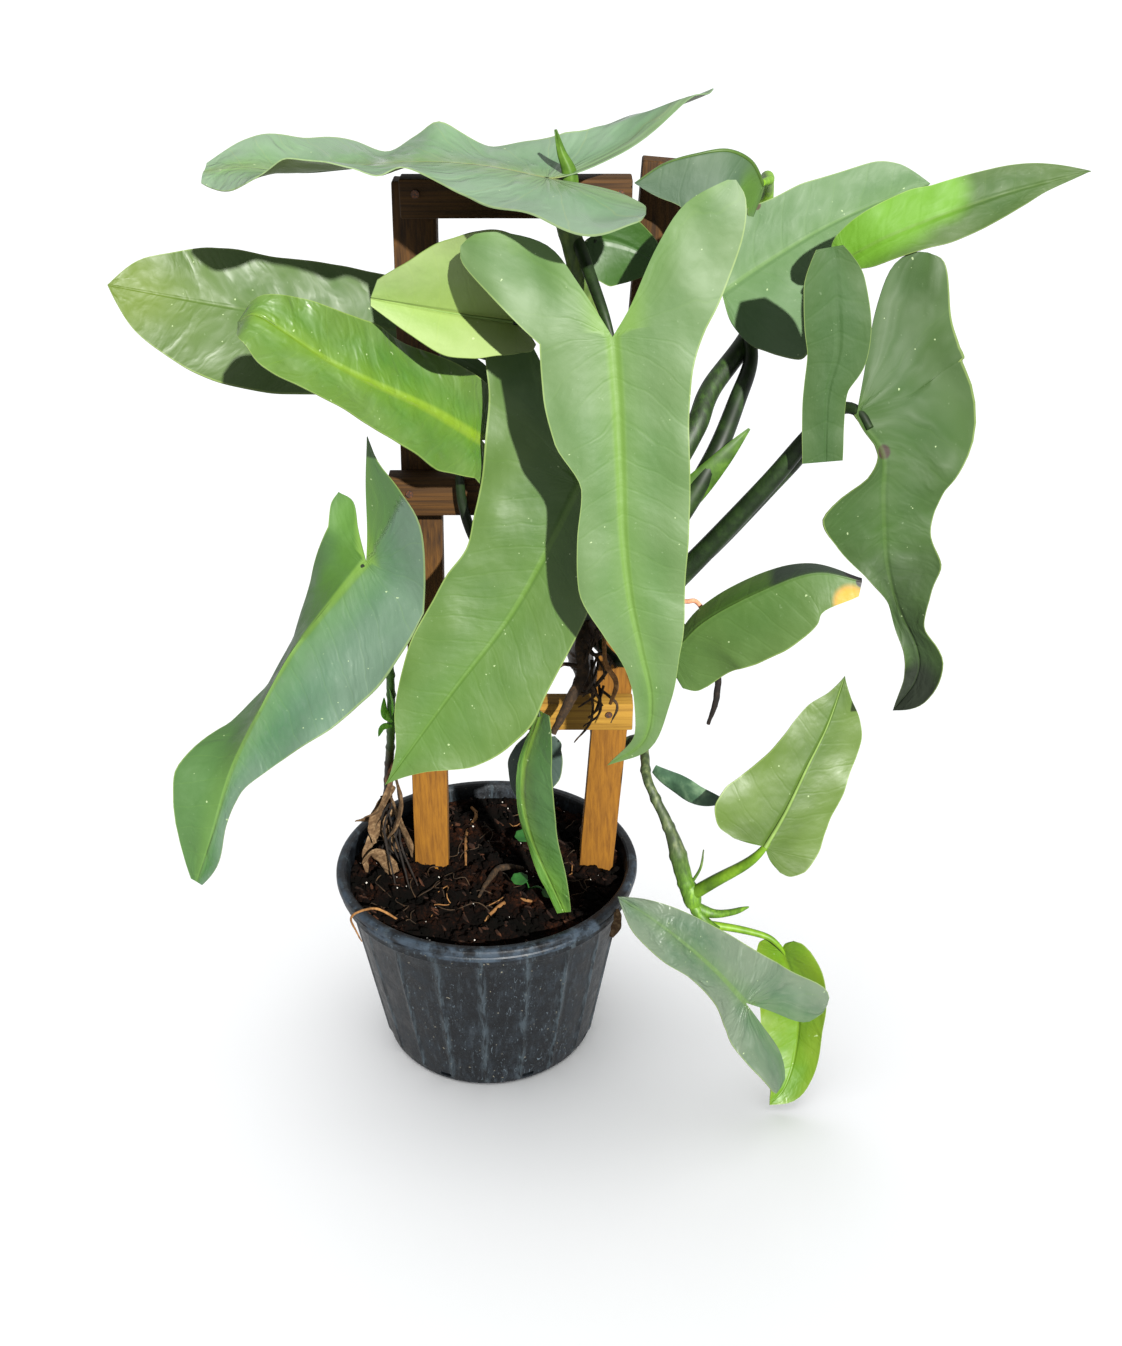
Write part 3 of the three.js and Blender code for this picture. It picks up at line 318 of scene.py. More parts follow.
plastic.coat(colour, plastic.bump(dust, 0.5, 0.0012), plastic.level(dust, 0.3, 0.7, 0.28, 0.62))
finished(pot, "pot", plastic.material, ["pot"], 35)


# Soil
# Peat and composted bark, damp and crumbly, filled to a finger below the lip.
# White perlite and bark chips lie in it, and its top rises and dips where it was pressed.

SOIL_LEVEL, SOIL_EDGE, SOIL_DEPTH = 188, 183.6, 48
SOIL_REACH, SOIL_FOOT = 136.4, 127.5


def soil_height(x, y):
    """Height of the soil's top, broad lumps first and crumbs on them."""
    r = math.hypot(x, y)
    lumps = 3.2 * math.sin(x / 13 + 1.1) * math.cos(y / 17 - 0.4) + 2.2 * math.sin((x + y) / 7.5)
    lumps += 1.6 * math.cos((x - 2 * y) / 11)
    broad = SOIL_LEVEL + lumps * held((134 - r) / 20) - 4 * held((r - 90) / 46)
    crumbs = 6 * noise.noise(Vector((x, y, 0)) / 11) + 3.2 * noise.noise(Vector((x, y, 9)) / 4)
    return broad + crumbs * held((136 - r) / 6)


def soil_point(u, t, edge=0.94):
    """A point of the soil body: t from the middle of the top to its edge and down inside the pot."""
    angle = FULL_TURN * u
    if t < edge:
        x, y = around(SOIL_REACH * t / edge, angle)
        return x, y, soil_height(x, y)
    below = (t - edge) / (1 - edge)
    r = SOIL_REACH * (1 - below) + SOIL_FOOT * below if below < 0.99 else 0
    return *around(r, angle), SOIL_EDGE - SOIL_DEPTH * min(below, 0.9)


soil = merged([moulded("soil_fill", 300, 150, soil_point)])
# Peat: nearly black where damp, red-brown where it dries, rough all over.
peat = Paint("damp_peat_and_bark", 1.0, 0.05)
crumb = peat.noise(260, 8, 0.75)
damp = peat.math("MULTIPLY", crumb, peat.noise(26, 4))
peat.coat(peat.ramp(damp, {0.15: "#020201", 0.25: "#060302", 0.34: "#180A04", 0.46: "#3B1C0C"}),
          peat.bump(crumb, 1, 0.003))
finished(soil, "soil", peat.material, ["soil"])


def scattered(name, count, sizes, squash, seed, material, reach=133, crumple=0.35):
    """Copies one rough grain many times over the soil, each turned and sized by a seeded draw."""
    draw = random.Random(seed)
    bpy.ops.mesh.primitive_ico_sphere_add(subdivisions=1, radius=1, location=(0, 0, 0))
    grain = bpy.context.object
    copies = []
    for i in range(count):
        copy = grain.copy()
        copy.data = grain.data.copy()
        bpy.context.scene.collection.objects.link(copy)
        r, angle = reach * math.sqrt(draw.random()), FULL_TURN * draw.random()
        x, y = around(r, angle)
        size = draw.uniform(*sizes)
        turn = Vector((draw.random(), draw.random(), draw.random())).to_track_quat("Z", "Y")
        for point in copy.data.vertices:
            shape = point.co * (1 + crumple * (draw.random() - 0.5))
            shape = turn @ Vector((shape.x, shape.y * (0.5 + squash / 2), shape.z * squash))
            point.co = (shape * size + Vector((x, y, soil_height(x, y) + size * squash * 0.25))) * MM
        copies.append(copy)
    bpy.data.objects.remove(grain)
    piece = merged(copies)
    piece.name = name
    finished(piece, "soil", material, smooth=25)


scattered("soil_clods", 1100, (1.0, 4.8), 0.75, 3, peat.material, 134, 0.7)
scattered("soil_clumps", 70, (4.5, 8.5), 0.6, 5, peat.material, 128, 0.9)
# Perlite: dull white expanded glass crumbs.
scattered("soil_perlite", 70, (0.5, 1.2), 0.9, 8, Paint("white_perlite", 0.85).coat("#9A968E"))
# Composted pine bark: brown, split, matt.
bark = Paint("composted_pine_bark", 0.9, 0.15)
bark.coat(bark.ramp(bark.noise(120, 5), {0.3: "#0C0603", 0.5: "#1E0F07", 0.7: "#3A2010"}))
scattered("soil_bark", 260, (2.0, 7.0), 0.25, 21, bark.material, 134, 0.6)


# Trellis posts and rails
# Two sawn pine stakes pushed into the pot, leaning forward, with three sawn pine rails
# nailed across their fronts. The wood has yellowed; higher up it is painted darker as shade from the leaves above,
# with some weathering.

CUT_EVERY = 14


def timber(name, start, end, width, depth, seed, rough_end=0.0):
    """A sawn bar between two end centres, its arrises rubbed and its faces not quite flat."""
    start, end = Vector(start), Vector(end)
    along = (end - start).normalized()
    length = (end - start).length
    front = Vector((0, -1, 0)) + along * along.y
    front.normalize()
    side = front.cross(along)
    bpy.ops.mesh.primitive_cube_add(size=1, location=(0, 0, 0))
    bar = bpy.context.object
    bar.name = name
    for point in bar.data.vertices:
        point.co = Vector((point.co.x * width, point.co.y * depth, (point.co.z + 0.5) * length)) * MM
    apply_modifier(bar, "BEVEL", width=1.3 * MM, segments=2, limit_method="ANGLE")
    bpy.ops.object.mode_set(mode="EDIT")
    cuts = max(int(length / CUT_EVERY), 2)
    for i in range(1, cuts):
        bpy.ops.mesh.select_all(action="SELECT")
        bpy.ops.mesh.bisect(plane_co=(0, 0, length * i / cuts * MM), plane_no=(0, 0, 1))
    bpy.ops.object.mode_set(mode="OBJECT")
    for point in bar.data.vertices:
        x, y, z = point.co / MM
        wobble = noise.noise(Vector((seed, x / 40, z / 45))) * 0.5
        if z > length - 1.5 and rough_end:
            z -= rough_end * (0.5 + 0.5 * math.sin(x / 3.1 + seed)) * (0.6 + 0.4 * math.cos(y / 2.3))
        place = start + side * (x - math.copysign(0.25, x) + wobble * 0.5) + front * -(y * 0.985 + wobble * 0.3)
        point.co = (place + along * z) * MM
    return merged([bar])


def pine(name, scale, seed, light):
    """Sawn pine: a yellow-brown grain run along one axis, painted darker and greyer higher up as shade from the
    leaves, with some weathering.
    """
    wood = Paint(name, 0.78, 0.2)
    grain = wood.noise(2.6, 6, 0.6, 0.25, wood.stretched(scale, Location=(seed, seed * 2, 0)))
    # Painted shade: above 0.40 m the sunlit ramp gives way to a darker one, for the shade of the leaves, with some
    # weathering.
    shade_and_weathering = wood.level(wood.axes(wood.place)[2], 0.40, 0.55)
    dark = wood.ramp(grain, {0.3: "#1E1105", 0.5: "#321F07", 0.62: "#3F280B", 0.78: "#291906"})
    return wood.coat(wood.over(shade_and_weathering, wood.ramp(grain, light), dark), wood.bump(grain, 0.4, 0.0008))


post_pine = pine("sawn_pine_post", (150, 150, 3), 1,
                 {0.3: "#4C2E06", 0.5: "#5C3B0A", 0.65: "#66430C", 0.8: "#523308"})
rail_pine = pine("sawn_pine_rail", (3, 150, 150), 4, {0.3: "#553B0F", 0.5: "#6E5119", 0.7: "#7D5F21"})
POSTS = {"post_left": ((-57.6, 16.8, 128), (-37, -49.5, 852)),
         "post_right": ((106.5, 15.4, 144), (152.1, -50.8, 867))}
for i, (node, (foot, head)) in enumerate(POSTS.items()):
    post = timber(node + "_sawn", foot, head, 34, 20, i, 5.0)
    finished(post, "timber", post_pine, [node], 30)
# Height of its middle, width, left end and right end of each rail.
RAILS = {"rail_top": (842.5, 29, -46, 127), "rail_middle": (601, 34, -70, 152), "rail_lower": (380.5, 29, -72, 140)}
LEAN = 60 / 655
tilt = math.atan(LEAN)
for i, (node, (z, width, left, right)) in enumerate(RAILS.items()):
    # Its middle lies half its depth, and a hair more, in front of the leaning posts.
    y = LEAN * (200 - z) - 10.3 / math.cos(tilt) - 0.15
    rail = timber(node + "_sawn", (0, 0, 0), (0, 0, right - left), width, 20, 5 + i)
    for point in rail.data.vertices:
        up, deep, along = (c / MM for c in point.co)
        point.co = Vector((along + left, y + deep * math.cos(tilt) - up * math.sin(tilt),
                           z + deep * math.sin(tilt) + up * math.cos(tilt))) * MM
    finished(merged([rail]), "timber", rail_pine, [node], 30)


# Nails
# Round-head wire nails, one where each rail end meets its post, dulled by rust.

NAIL_COUNT = 6
# Mild steel wire: dark grey gone brown, half rough.
wire_steel = Paint("rusted_steel_wire_nail", 0.6, metallic=0.6)
wire_steel.coat(wire_steel.ramp(wire_steel.noise(900, 4), {0.35: "#2A2624", 0.55: "#4A3022", 0.7: "#6B3D20"}))
for i in range(NAIL_COUNT):
    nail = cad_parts[f"nail_{i + 1}"]
    for slot in nail.material_slots:
        slot.material = wire_steel.material


# Climbing stem, the thin stem at the left post and the trailing stem
# Living stems as thick as a thumb, ringed by old leaf scars, green where young and
# barked over with brown where old. Each grew as one piece from the soil or its parent.

FINE_STEPS = 24


def numbers(values):
    """Reads "1 2 3" as numbers; a list stays as it is."""
    return [float(n) for n in values.split()] if isinstance(values, str) else values


def points_of(values):
    """Reads "1 2 3, 4 5 6" as points; a list stays as it is."""
    return [numbers(p) for p in values.split(",") if p] if isinstance(values, str) else values


def smooth_path(path, count):
    """Evenly spaced points along a smooth curve through the given ones, and its length."""
    points = [Vector(p) for p in points_of(path)]
    if len(points) == 2:
        points.insert(1, (points[0] + points[1]) / 2)
    ends = [points[0] * 2 - points[1]] + points + [points[-1] * 2 - points[-2]]
    fine = []
    for i in range(1, len(points)):
        a, b, c, d = ends[i - 1:i + 3]
        for k in range(FINE_STEPS):
            t = k / FINE_STEPS
            fine.append(0.5 * ((2 * b) + (c - a) * t + (2 * a - 5 * b + 4 * c - d) * t * t
                               + (3 * b - a - 3 * c + d) * t ** 3))
    fine.append(points[-1])
    walked = [0.0]
    for p, q in zip(fine, fine[1:]):
        walked.append(walked[-1] + (q - p).length)
    spaced, k = [], 0
    for i in range(count + 1):
        target = walked[-1] * i / count
        while k < len(walked) - 2 and walked[k + 1] < target:
            k += 1
        step = walked[k + 1] - walked[k]
        spaced.append(fine[k].lerp(fine[k + 1], (target - walked[k]) / step if step else 0))
    return spaced, walked[-1]


def smooth_through(ys, xs=None):
    """A curve through (xs, ys) that never overshoots them, with xs evenly from 0 to 1 if not given."""
    ys = numbers(ys)
    xs = xs or [i / (len(ys) - 1) for i in range(len(ys))]
    h = [b - a for a, b in zip(xs, xs[1:])]
    slope = [(ys[i + 1] - ys[i]) / h[i] for i in range(len(h))]
    tangent = [0.0] * len(xs)
    for i in range(1, len(xs) - 1):
        if slope[i - 1] * slope[i] > 0:
            w1, w2 = 2 * h[i] + h[i - 1], h[i] + 2 * h[i - 1]
            tangent[i] = (w1 + w2) / (w1 / slope[i - 1] + w2 / slope[i])
    if len(xs) == 2:
        tangent = [slope[0], slope[0]]
    else:
        for end, a, b in ((0, 0, 1), (-1, -1, -2)):
            d = ((2 * h[a] + h[b]) * slope[a] - h[a] * slope[b]) / (h[a] + h[b])
            if d * slope[a] <= 0:
                d = 0.0
            elif slope[a] * slope[b] <= 0 and abs(d) > 3 * abs(slope[a]):
                d = 3 * slope[a]
            tangent[end] = d

    def at(x):
        """The curve's height at x."""
        x = held(x, xs[0], xs[-1])
        i = 0
        while i < len(xs) - 2 and x > xs[i + 1]:
            i += 1
        t = (x - xs[i]) / h[i]
        return ((2 * t ** 3 - 3 * t * t + 1) * ys[i] + (t ** 3 - 2 * t * t + t) * h[i] * tangent[i]
                + (3 * t * t - 2 * t ** 3) * ys[i + 1] + (t ** 3 - t * t) * h[i] * tangent[i + 1])
    return at


def stalk(name, path, radii, sides=12, step=3.0, relief=None, flat=1.0):
    """A round stem along a path, closed at both ends; relief(angle, along) adds to its radius."""
    total = smooth_path(path, 10)[1]
    rings = max(int(total / step), 6)
    spine = smooth_path(path, rings)[0]
    radius = smooth_through(radii)
    across, frames = None, []
    for i, point in enumerate(spine):
        along = (spine[min(i + 1, rings)] - spine[max(i - 1, 0)]).normalized()
        if across is None:
            across = Vector((0, 0, 1)) if abs(along.z) < 0.9 else Vector((1, 0, 0))
        across = (across - along * across.dot(along)).normalized()
        frames.append((point, across, along.cross(across)))

    def place(u, t):
        """Rings along the spine, the first and last drawn in to close the ends."""
        i = round(t * (rings + 2)) - 1
        k = held(i, 0, rings)
        point, across, other = frames[k]
        angle = FULL_TURN * u
        r = 0.0 if i != k else radius(k / rings)
        if relief and r:
            r += relief(angle, k / rings * total)
        return point + across * (math.cos(angle) * r) + other * (math.sin(angle) * r * flat)

    return merged([moulded(name, sides, rings + 2, place)])


def scarred(spacing, height, seed):
    """Relief of old leaf scars: a swelling every few centimetres and a fine unevenness."""
    def relief(angle, along):
        """Height of the bark over the plain stem."""
        ring = math.exp(-((along % spacing - spacing / 2) / 2.6) ** 2) * height
        return ring + 0.5 * noise.noise(Vector((*around(1, angle), along / 9 + seed)))
    return relief


def tones(colours, *at):
    """The stops of a ramp: its colours, at even places over the middle of a pattern if not given."""
    return dict(zip(at or (0.3, 0.5, 0.7), colours.split()))


BROWN_BARK = tones("#0D0603 #231408 #3F2A15", 0.3, 0.5, 0.68)


def stem_skin(name, green_at, woody_at, green, old=BROWN_BARK, last=0.65):
    """Stem skin: satin green with pale flecks, turning to brown bark between two heights."""
    skin = Paint(name, 0.55, 0.3)
    fleck = skin.noise(1.6, 6, 0.65, on=skin.stretched((130, 130, 34)))
    wood = skin.level(skin.axes(skin.place)[2], green_at, woody_at)
    share = skin.level(skin.math("MULTIPLY_ADD", fleck, 0.5, wood), 0.35, 0.95)
    young = tones(green, 0.3, 0.5, last)
    return skin.coat(skin.over(share, skin.ramp(fleck, young), skin.ramp(fleck, old)),
                     skin.bump(fleck, 0.4, 0.0008))


main_stem = stalk(
    "climbing_stem",
    "100 54 140, 104 53 190, 113 44 250, 112 34 330, 98 22 395, 90 -8 434, 98 -44 466, 114 -60 500, "
    "120 -70 560, 116 -74 620, 106 -80 690, 94 -90 770, 74 -104 843",
    "10 11 10 10 11 10 11 10 10.5 9.5 9 8", 20, 2.5, scarred(38, 1.3, 2))
finished(main_stem, "stem", stem_skin("philodendron_stem_bark", 0.58, 0.46, "#23340F #354818 #495924"),
    ["stem_main"])
thin_stem = stalk(
    "left_post_stem",
    "-102 58 150, -107 60 200, -99 42 270, -88 8 357, -83 -18 436, -85 -24 448",
    "4.5 4.5 4.5 4 4 3.6", 14, 2.5, scarred(26, 0.8, 5))
finished(thin_stem, "stem", stem_skin("thin_stem_skin", 0.36, 0.26, "#1C3A0C #2C5212 #3E6A1E"), ["stem_left"])
trailing_stem = merged([
    stalk("trailing_stem",
          "120 28 306, 146 18 326, 152 -18 338, 153 -54 328, 161 -68 312, 171 -74 292, 180 -79 268, "
          "189 -83 236, 197 -88 210, 208 -95 195, 221 -103 188",
          "4.6 4.6 4.5 4.3 4.3 4.6 5.6 8 7.5 5 4", 16, 2.5, scarred(30, 1.0, 7)),
    stalk("joint", "194 -84 228, 199 -88 206", "6 8.6 8.8 7", 16, 2),
    stalk("side_shoot", "199 -88 205, 216 -91 199, 233 -95 203, 249 -100 213",
          "5.5 5.4 4.2 3.4 2.8 0.8", 14, 2),
    stalk("dry_stub", "196 -84 228, 204 -84 246, 206 -84 266", "1.6 1.3 0.6", 8, 2),
])
trailing_skin = stem_skin("trailing_stem_skin", 0.225, 0.29, "#22380A #38560E #4E6E16",
                          tones("#141C0C #2A361C #4C5434"))
finished(trailing_stem, "stem", trailing_skin, ["stem_trailing"])
sprouts = [stalk("sprout", path, [thin, thick, end], 14, 1.5, None, 0.3) for path, thin, thick, end in (
    ("-87 6 352, -93 -2 366, -92 -6 384", 1.2, 4.6, 0.6),
    ("-87 4 360, -84 -6 378, -86 -8 396", 1.2, 4.0, 0.5),
    ("-88 8 346, -96 2 348, -100 -2 340", 1.0, 3.6, 0.5))]
finished(merged(sprouts), "young_green", stem_skin("young_sprout_skin", 0.3, 0.2, "#3E7A1A #5A9A28 #74B03A"))


# Roots that cling to the post
# Aerial roots a pencil thick down to a wire, dark brown and dry, that left the stem at its
# joints, wound round the right post and the lower rail, and one that hangs free.

def root_skin(name, colours):
    """Dry root skin: cork, flecked, with no shine."""
    skin = Paint(name, 0.85, 0.2)
    fleck = skin.noise(190, 6, 0.7)
    return skin.coat(skin.ramp(fleck, tones(colours)), skin.bump(fleck, 0.6, 0.0007))


dark_cork = root_skin("dark_root_cork", "#0C0804 #20160B #3C2A16")
black_cork = root_skin("black_root_cork", "#050403 #0E0A07 #1E1610")
tan_cork = root_skin("tan_root_skin", "#3E2810 #5E4020 #7E5C34")
pink_cork = root_skin("pale_young_root", "#7A4E38 #9A6C52 #B48C70")


def root(name, path, radii, seed, sides=8, step=2.0, knots=0.5):
    """A dry root with small knots along it."""
    return stalk(name, path, radii, sides, step, lambda angle, along: knots * noise.noise(
        Vector((*around(1, angle), along / 6 + seed))))


climbing = [
    root("climbing_root", "98 -52 486, 92 -64 466, 92 -70 440, 82 -74 418, 67 -77 386",
         "5 6 5.4 4.4 2.6", 1, 14, knots=0.9),
    root("twig_a", "90 -68 448, 76 -72 452, 66 -72 444, 56 -70 446", "2 1.8 1.5 0.8", 2),
    root("twig_b", "72 -72 448, 66 -72 458, 60 -70 462", "1.6 1.4 0.7", 3),
    root("twig_c", "84 -72 424, 98 -74 426, 112 -76 444, 118 -80 460", "1.9 1.8 1.6 0.9", 4),
    root("twig_d", "92 -66 474, 102 -72 462, 112 -76 464, 122 -78 452", "1.8 1.8 1.5 0.9", 5),
]
draw = random.Random(12)
for i in range(12):
    z = draw.uniform(424, 480)
    start = (draw.uniform(98, 112), -62 - draw.uniform(0, 6), z)
    bend = (start[0] + draw.uniform(-10, 16), draw.uniform(-82, -72), z + draw.uniform(-24, 10))
    end = (bend[0] + draw.uniform(-16, 14), draw.uniform(-84, -68), bend[2] - draw.uniform(6, 26))
    climbing.append(root("wire_root", [start, bend, end], "1.3 1.2 0.6", 20 + i, 7, 2.5))
finished(merged(climbing), "dark_root", dark_cork, ["climbing_root"])
hanging = root("hanging_root_bark",
               "120 -62 508, 150 -70 500, 192 -84 486, 207 -94 462, 208 -98 432, 202 -98 407",
               "3 3 2.6 2.6 2.8 1.6", 5, 12)
finished(hanging, "dark_root", black_cork, ["hanging_root"])
pale = root("pale_root_skin", "124 -66 545, 150 -78 530, 176 -88 520, 187 -92 521, 195 -94 508, 188 -90 492",
            "2.4 2.4 2.2 2 2 1.2", 6, 12, knots=0.3)
finished(pale, "pale_root", pink_cork, ["pale_root"])
dry = root("dry_root_skin", "112 -60 488, 112 -84 462, 122 -84 440, 117 -86 420", "2 2 2.4 1.4", 7, 10)
finished(dry, "pale_root", tan_cork, ["dry_root"])


# Roots on the soil
# Old roots washed bare on top of the soil, some thick and grey-brown, most thin and
# tan, and one wiry root that arches over the left of the lip.

BARE_ROOTS = {
    "soil_root_back": ("-22 114 186, -16 92 190, -24 66 187, -24 40 191, -22 6 186",
                       "1.6 2 1.8 1.6 1", tan_cork),
    "soil_root_front": ("36 0 186, 14 -8 193, 2 -30 192, -6 -50 188", "2.6 3.4 2.6 1.2", dark_cork),
    "soil_root_tan": ("46 -56 187, 26 -58 191, 8 -78 190, -4 -104 186", "1.4 1.8 1.6 1", tan_cork),
    "rim_root": ("-78 -84 184, -98 -86 200, -112 -96 206, -123 -98 199, -120 -95 182, "
                 "-116 -91 166", "1 1.2 1.2 1.1 0.9 0.5", tan_cork),
}
for i, (node, (path, radii, skin)) in enumerate(BARE_ROOTS.items()):
    finished(root(node + "_bare", path, radii, 30 + i, 10, knots=0.4), "pale_root", skin, [node])
draw = random.Random(77)
foot_roots = []
for i in range(10):
    x, y = draw.uniform(-124, -66), draw.uniform(-40, 30)
    top = (-94 + draw.uniform(-12, 8), 14 + draw.uniform(-8, 6), draw.uniform(205, 262))
    middle = ((x + top[0]) / 2 + draw.uniform(-9, 9), (y + top[1]) / 2, (top[2] + 185) / 2 + draw.uniform(-4, 18))
    end = (x, y, soil_height(x, y) - 1)
    foot_roots.append(root("foot_root", [top, middle, end], "1 1.1 0.6", 60 + i, 7, 3.0))
finished(merged(foot_roots), "dark_root", black_cork)
THREAD_REACH = 128
for count, slot, skin in ((9, "pale_root", tan_cork), (34, "dark_root", dark_cork)):
    draw = random.Random(count)
    threads = []
    for i in range(count):
        r, angle = 112 * math.sqrt(draw.random()), FULL_TURN * draw.random()
        heading = FULL_TURN * draw.random()
        path = []
        for k in range(5):
            x, y = (a + k * 9 * b for a, b in zip(around(r, angle), around(1, heading)))
            heading += draw.uniform(-0.6, 0.6)
            inwards = min(THREAD_REACH / math.hypot(x, y), 1)
            x, y = x * inwards, y * inwards
            path.append((x, y, soil_height(x, y) + (1.5 + draw.random() * 3 if 0 < k < 4 else -1)))
        threads.append(stalk("thread", path, "0.3 0.6 0.55 0.5 0.2", 6, 4.0))
    finished(merged(threads), slot, skin)


# Leaves
# Arrow-shaped blades a millimetre thick, waxy and silver-green above and paler below, each
# on its own stalk. The stalk runs on under the blade as its midrib and ends in the stem.

MIDRIB_STEPS = 80
BLADE_THICKNESS, QUILT_DEPTH = 0.9, 0.12
VEIN_SPACING, LIFT_REACH = 12, 80
RIB_HALF_WIDTH, RIB_TAPER = 3.2, 2.6


def half(widths, tip="", outer="", inner="", end=0, **shape):
    """Half a blade: even widths from joint to tip, and a lobe by its tip and the points of its edges."""
    return {"widths": numbers(widths) + [end], "tip": points_of(tip), "outer": points_of(outer),
            "inner": points_of(inner), **shape}


def vein_order(x, w):
    """Where the side vein through a flat point leaves the midrib, or a fan of veins in the lobe."""
    vein = x - 0.45 * w - 0.003 * w * w
    return vein if vein >= 0 else -45 * (math.atan2(w, x) - math.atan2(1, 0.45 + 0.003 * w))


def between(values, t):
    """Straight-line interpolation through evenly spaced values."""
    if len(values) == 1:
        return values[0]
    x = held(t) * (len(values) - 1)
    i = min(int(x), len(values) - 2)
    return values[i] + (values[i + 1] - values[i]) * (x - i)


class Blade:
    """One blade: puts a flat point, x along the midrib and w out from it, in its place in space."""

    def __init__(self, shape):
        self.points, self.length = smooth_path(shape["midrib"], MIDRIB_STEPS)
        self.wave = shape.get("wave", 5.5)
        faces = [Vector(f).normalized() for f in points_of(shape["face"])]
        self.frames = []
        for i, point in enumerate(self.points):
            along = (self.points[min(i + 1, MIDRIB_STEPS)] - self.points[max(i - 1, 0)]).normalized()
            up = between(faces, i / MIDRIB_STEPS)
            up = (up - along * up.dot(along)).normalized()
            self.frames.append((point, along, up, up.cross(along)))
        self.halves = {}
        for key in "lr":
            part = {"fold": shape.get("fold", "0"), "rim": "0 0, 1 0", "lift": 0, **shape[key]}
            places, heights = zip(*points_of(part["rim"]))
            part["rim"], part["width"] = smooth_through(heights, places), smooth_through(part["widths"])
            part["fold"] = numbers(part["fold"])
            part["bend"] = math.radians(shape.get("curl", 0)) / max(part["widths"])
            self.halves[key] = part

    def frame_at(self, x):
        """Point, direction along, up and left of the midrib at distance x."""
        if x <= 0:
            point, along, up, left = self.frames[0]
            return point + along * x, along, up, left
        t = min(x / self.length, 1) * MIDRIB_STEPS
        k = min(int(t), MIDRIB_STEPS - 1)
        point, along, up, left = (a.lerp(b, t - k) for a, b in zip(self.frames[k], self.frames[k + 1]))
        return point, along, up.normalized(), left.normalized()

    def place(self, key, x, w):
        """The place of flat point (x, w) on half key, folded, curled and waved like the leaf."""
        part = self.halves[key]
        point, along, up, left = self.frame_at(x)
        f = held(x / self.length)
        fold = math.radians(between(part["fold"], f))
        bend = part["bend"]
        reach, rise = math.cos(fold) * w, math.sin(fold) * w
        if abs(bend) > 1e-6:
            reach = (math.sin(fold + bend * w) - math.sin(fold)) / bend
            rise = (math.cos(fold) - math.cos(fold + bend * w)) / bend
        share = held(w / max(part["width"](f), 1), 0, 1.15)
        seed = self.length + (50 if key == "l" else 0)
        waves = 0.9 * share * share * math.sin(x / 15 + self.length)
        waves += self.wave * min(share, 1) * noise.noise(Vector((x / 44, w / 34, seed)))
        quilt = QUILT_DEPTH * min(share * 3, 1) * math.cos(vein_order(x, w) / VEIN_SPACING * math.pi)
        rise += part["rim"](f) * share ** 1.5 + waves * min(1, (1 - f) * 6) + quilt * min(1, (1 - f) * 4)
        if x < 0:
            rise += part["lift"] * min(-x / LIFT_REACH, 2) ** 1.3
        return point + (left if key == "l" else -left) * reach + up * rise

    def rows(self, key, lobe_rows, blade_rows):
        """Rows of (inner, outer) flat points from the lobe's tip, or the joint, to the leaf's tip."""
        part, rows = self.halves[key], []
        if part["tip"]:
            inner, outer = (smooth_path([(*p, 0) for p in (*part["tip"], *part[edge], end)], lobe_rows)[0]
                            for edge, end in (("inner", (0, 0)), ("outer", (0, part["widths"][0]))))
            rows = [((a.x, a.y), (b.x, b.y)) for a, b in zip(inner[:-1], outer[:-1])]
        for i in range(blade_rows + 1):
            x = i / blade_rows * self.length
            rows.append(((x, 0), (x, part["width"](i / blade_rows))))
        return rows

    def half_mesh(self, key, lobe_rows, blade_rows, columns):
        """One half as a mesh that keeps its flat layout, for its veins, as point attributes."""
        rows = self.rows(key, lobe_rows, blade_rows)
        layout = {"flat": [], "veins": []}

        def place(u, t):
            """Across from the rim or the midrib, so that both halves face up."""
            share = 1 - u if key == "l" else u
            inner, outer = rows[round(t * (len(rows) - 1))]
            x, w = (a + (b - a) * share for a, b in zip(inner, outer))
            f = held(x / self.length)
            # Distance from the midrib; in the lobe it grows away from the joint and the inner edge.
            beside = abs(w) if x >= 0 else 18 * share - x / 6
            layout["flat"] += (x * MM, (w if key == "l" else -w) * MM, share)
            layout["veins"] += (vein_order(x, w) * MM, beside / (RIB_HALF_WIDTH - RIB_TAPER * f), f)
            return self.place(key, x, w)

        piece = moulded(key, columns, len(rows) - 1, place)
        for name, values in layout.items():
            piece.data.attributes.new(name, "FLOAT_VECTOR", "POINT").data.foreach_set("vector", values)
        return piece

    def mesh(self, lobe_rows, blade_rows, columns, skins):
        """The whole blade with its thickness, its upper and its under skin."""
        piece = merged([self.half_mesh(key, lobe_rows, blade_rows, columns) for key in "lr"], False)
        for skin in skins:
            piece.data.materials.append(skin)
        apply_modifier(piece, "SOLIDIFY", thickness=BLADE_THICKNESS * MM, offset=0, material_offset=1)
        return piece

    def rib(self, skin, start):
        """The midrib: a half-round ridge that tapers out under the blade."""
        radii = [start * share for share in (1, 0.75, 0.55, 0.35, 0.15)]
        path = [point - up * (between(radii, i / 10) - 0.2)
                for i, (point, along, up, left) in enumerate(self.frames[::8])]
        piece = stalk("rib", path, radii, 10, 4)
        piece.data.materials.append(skin)
        return piece


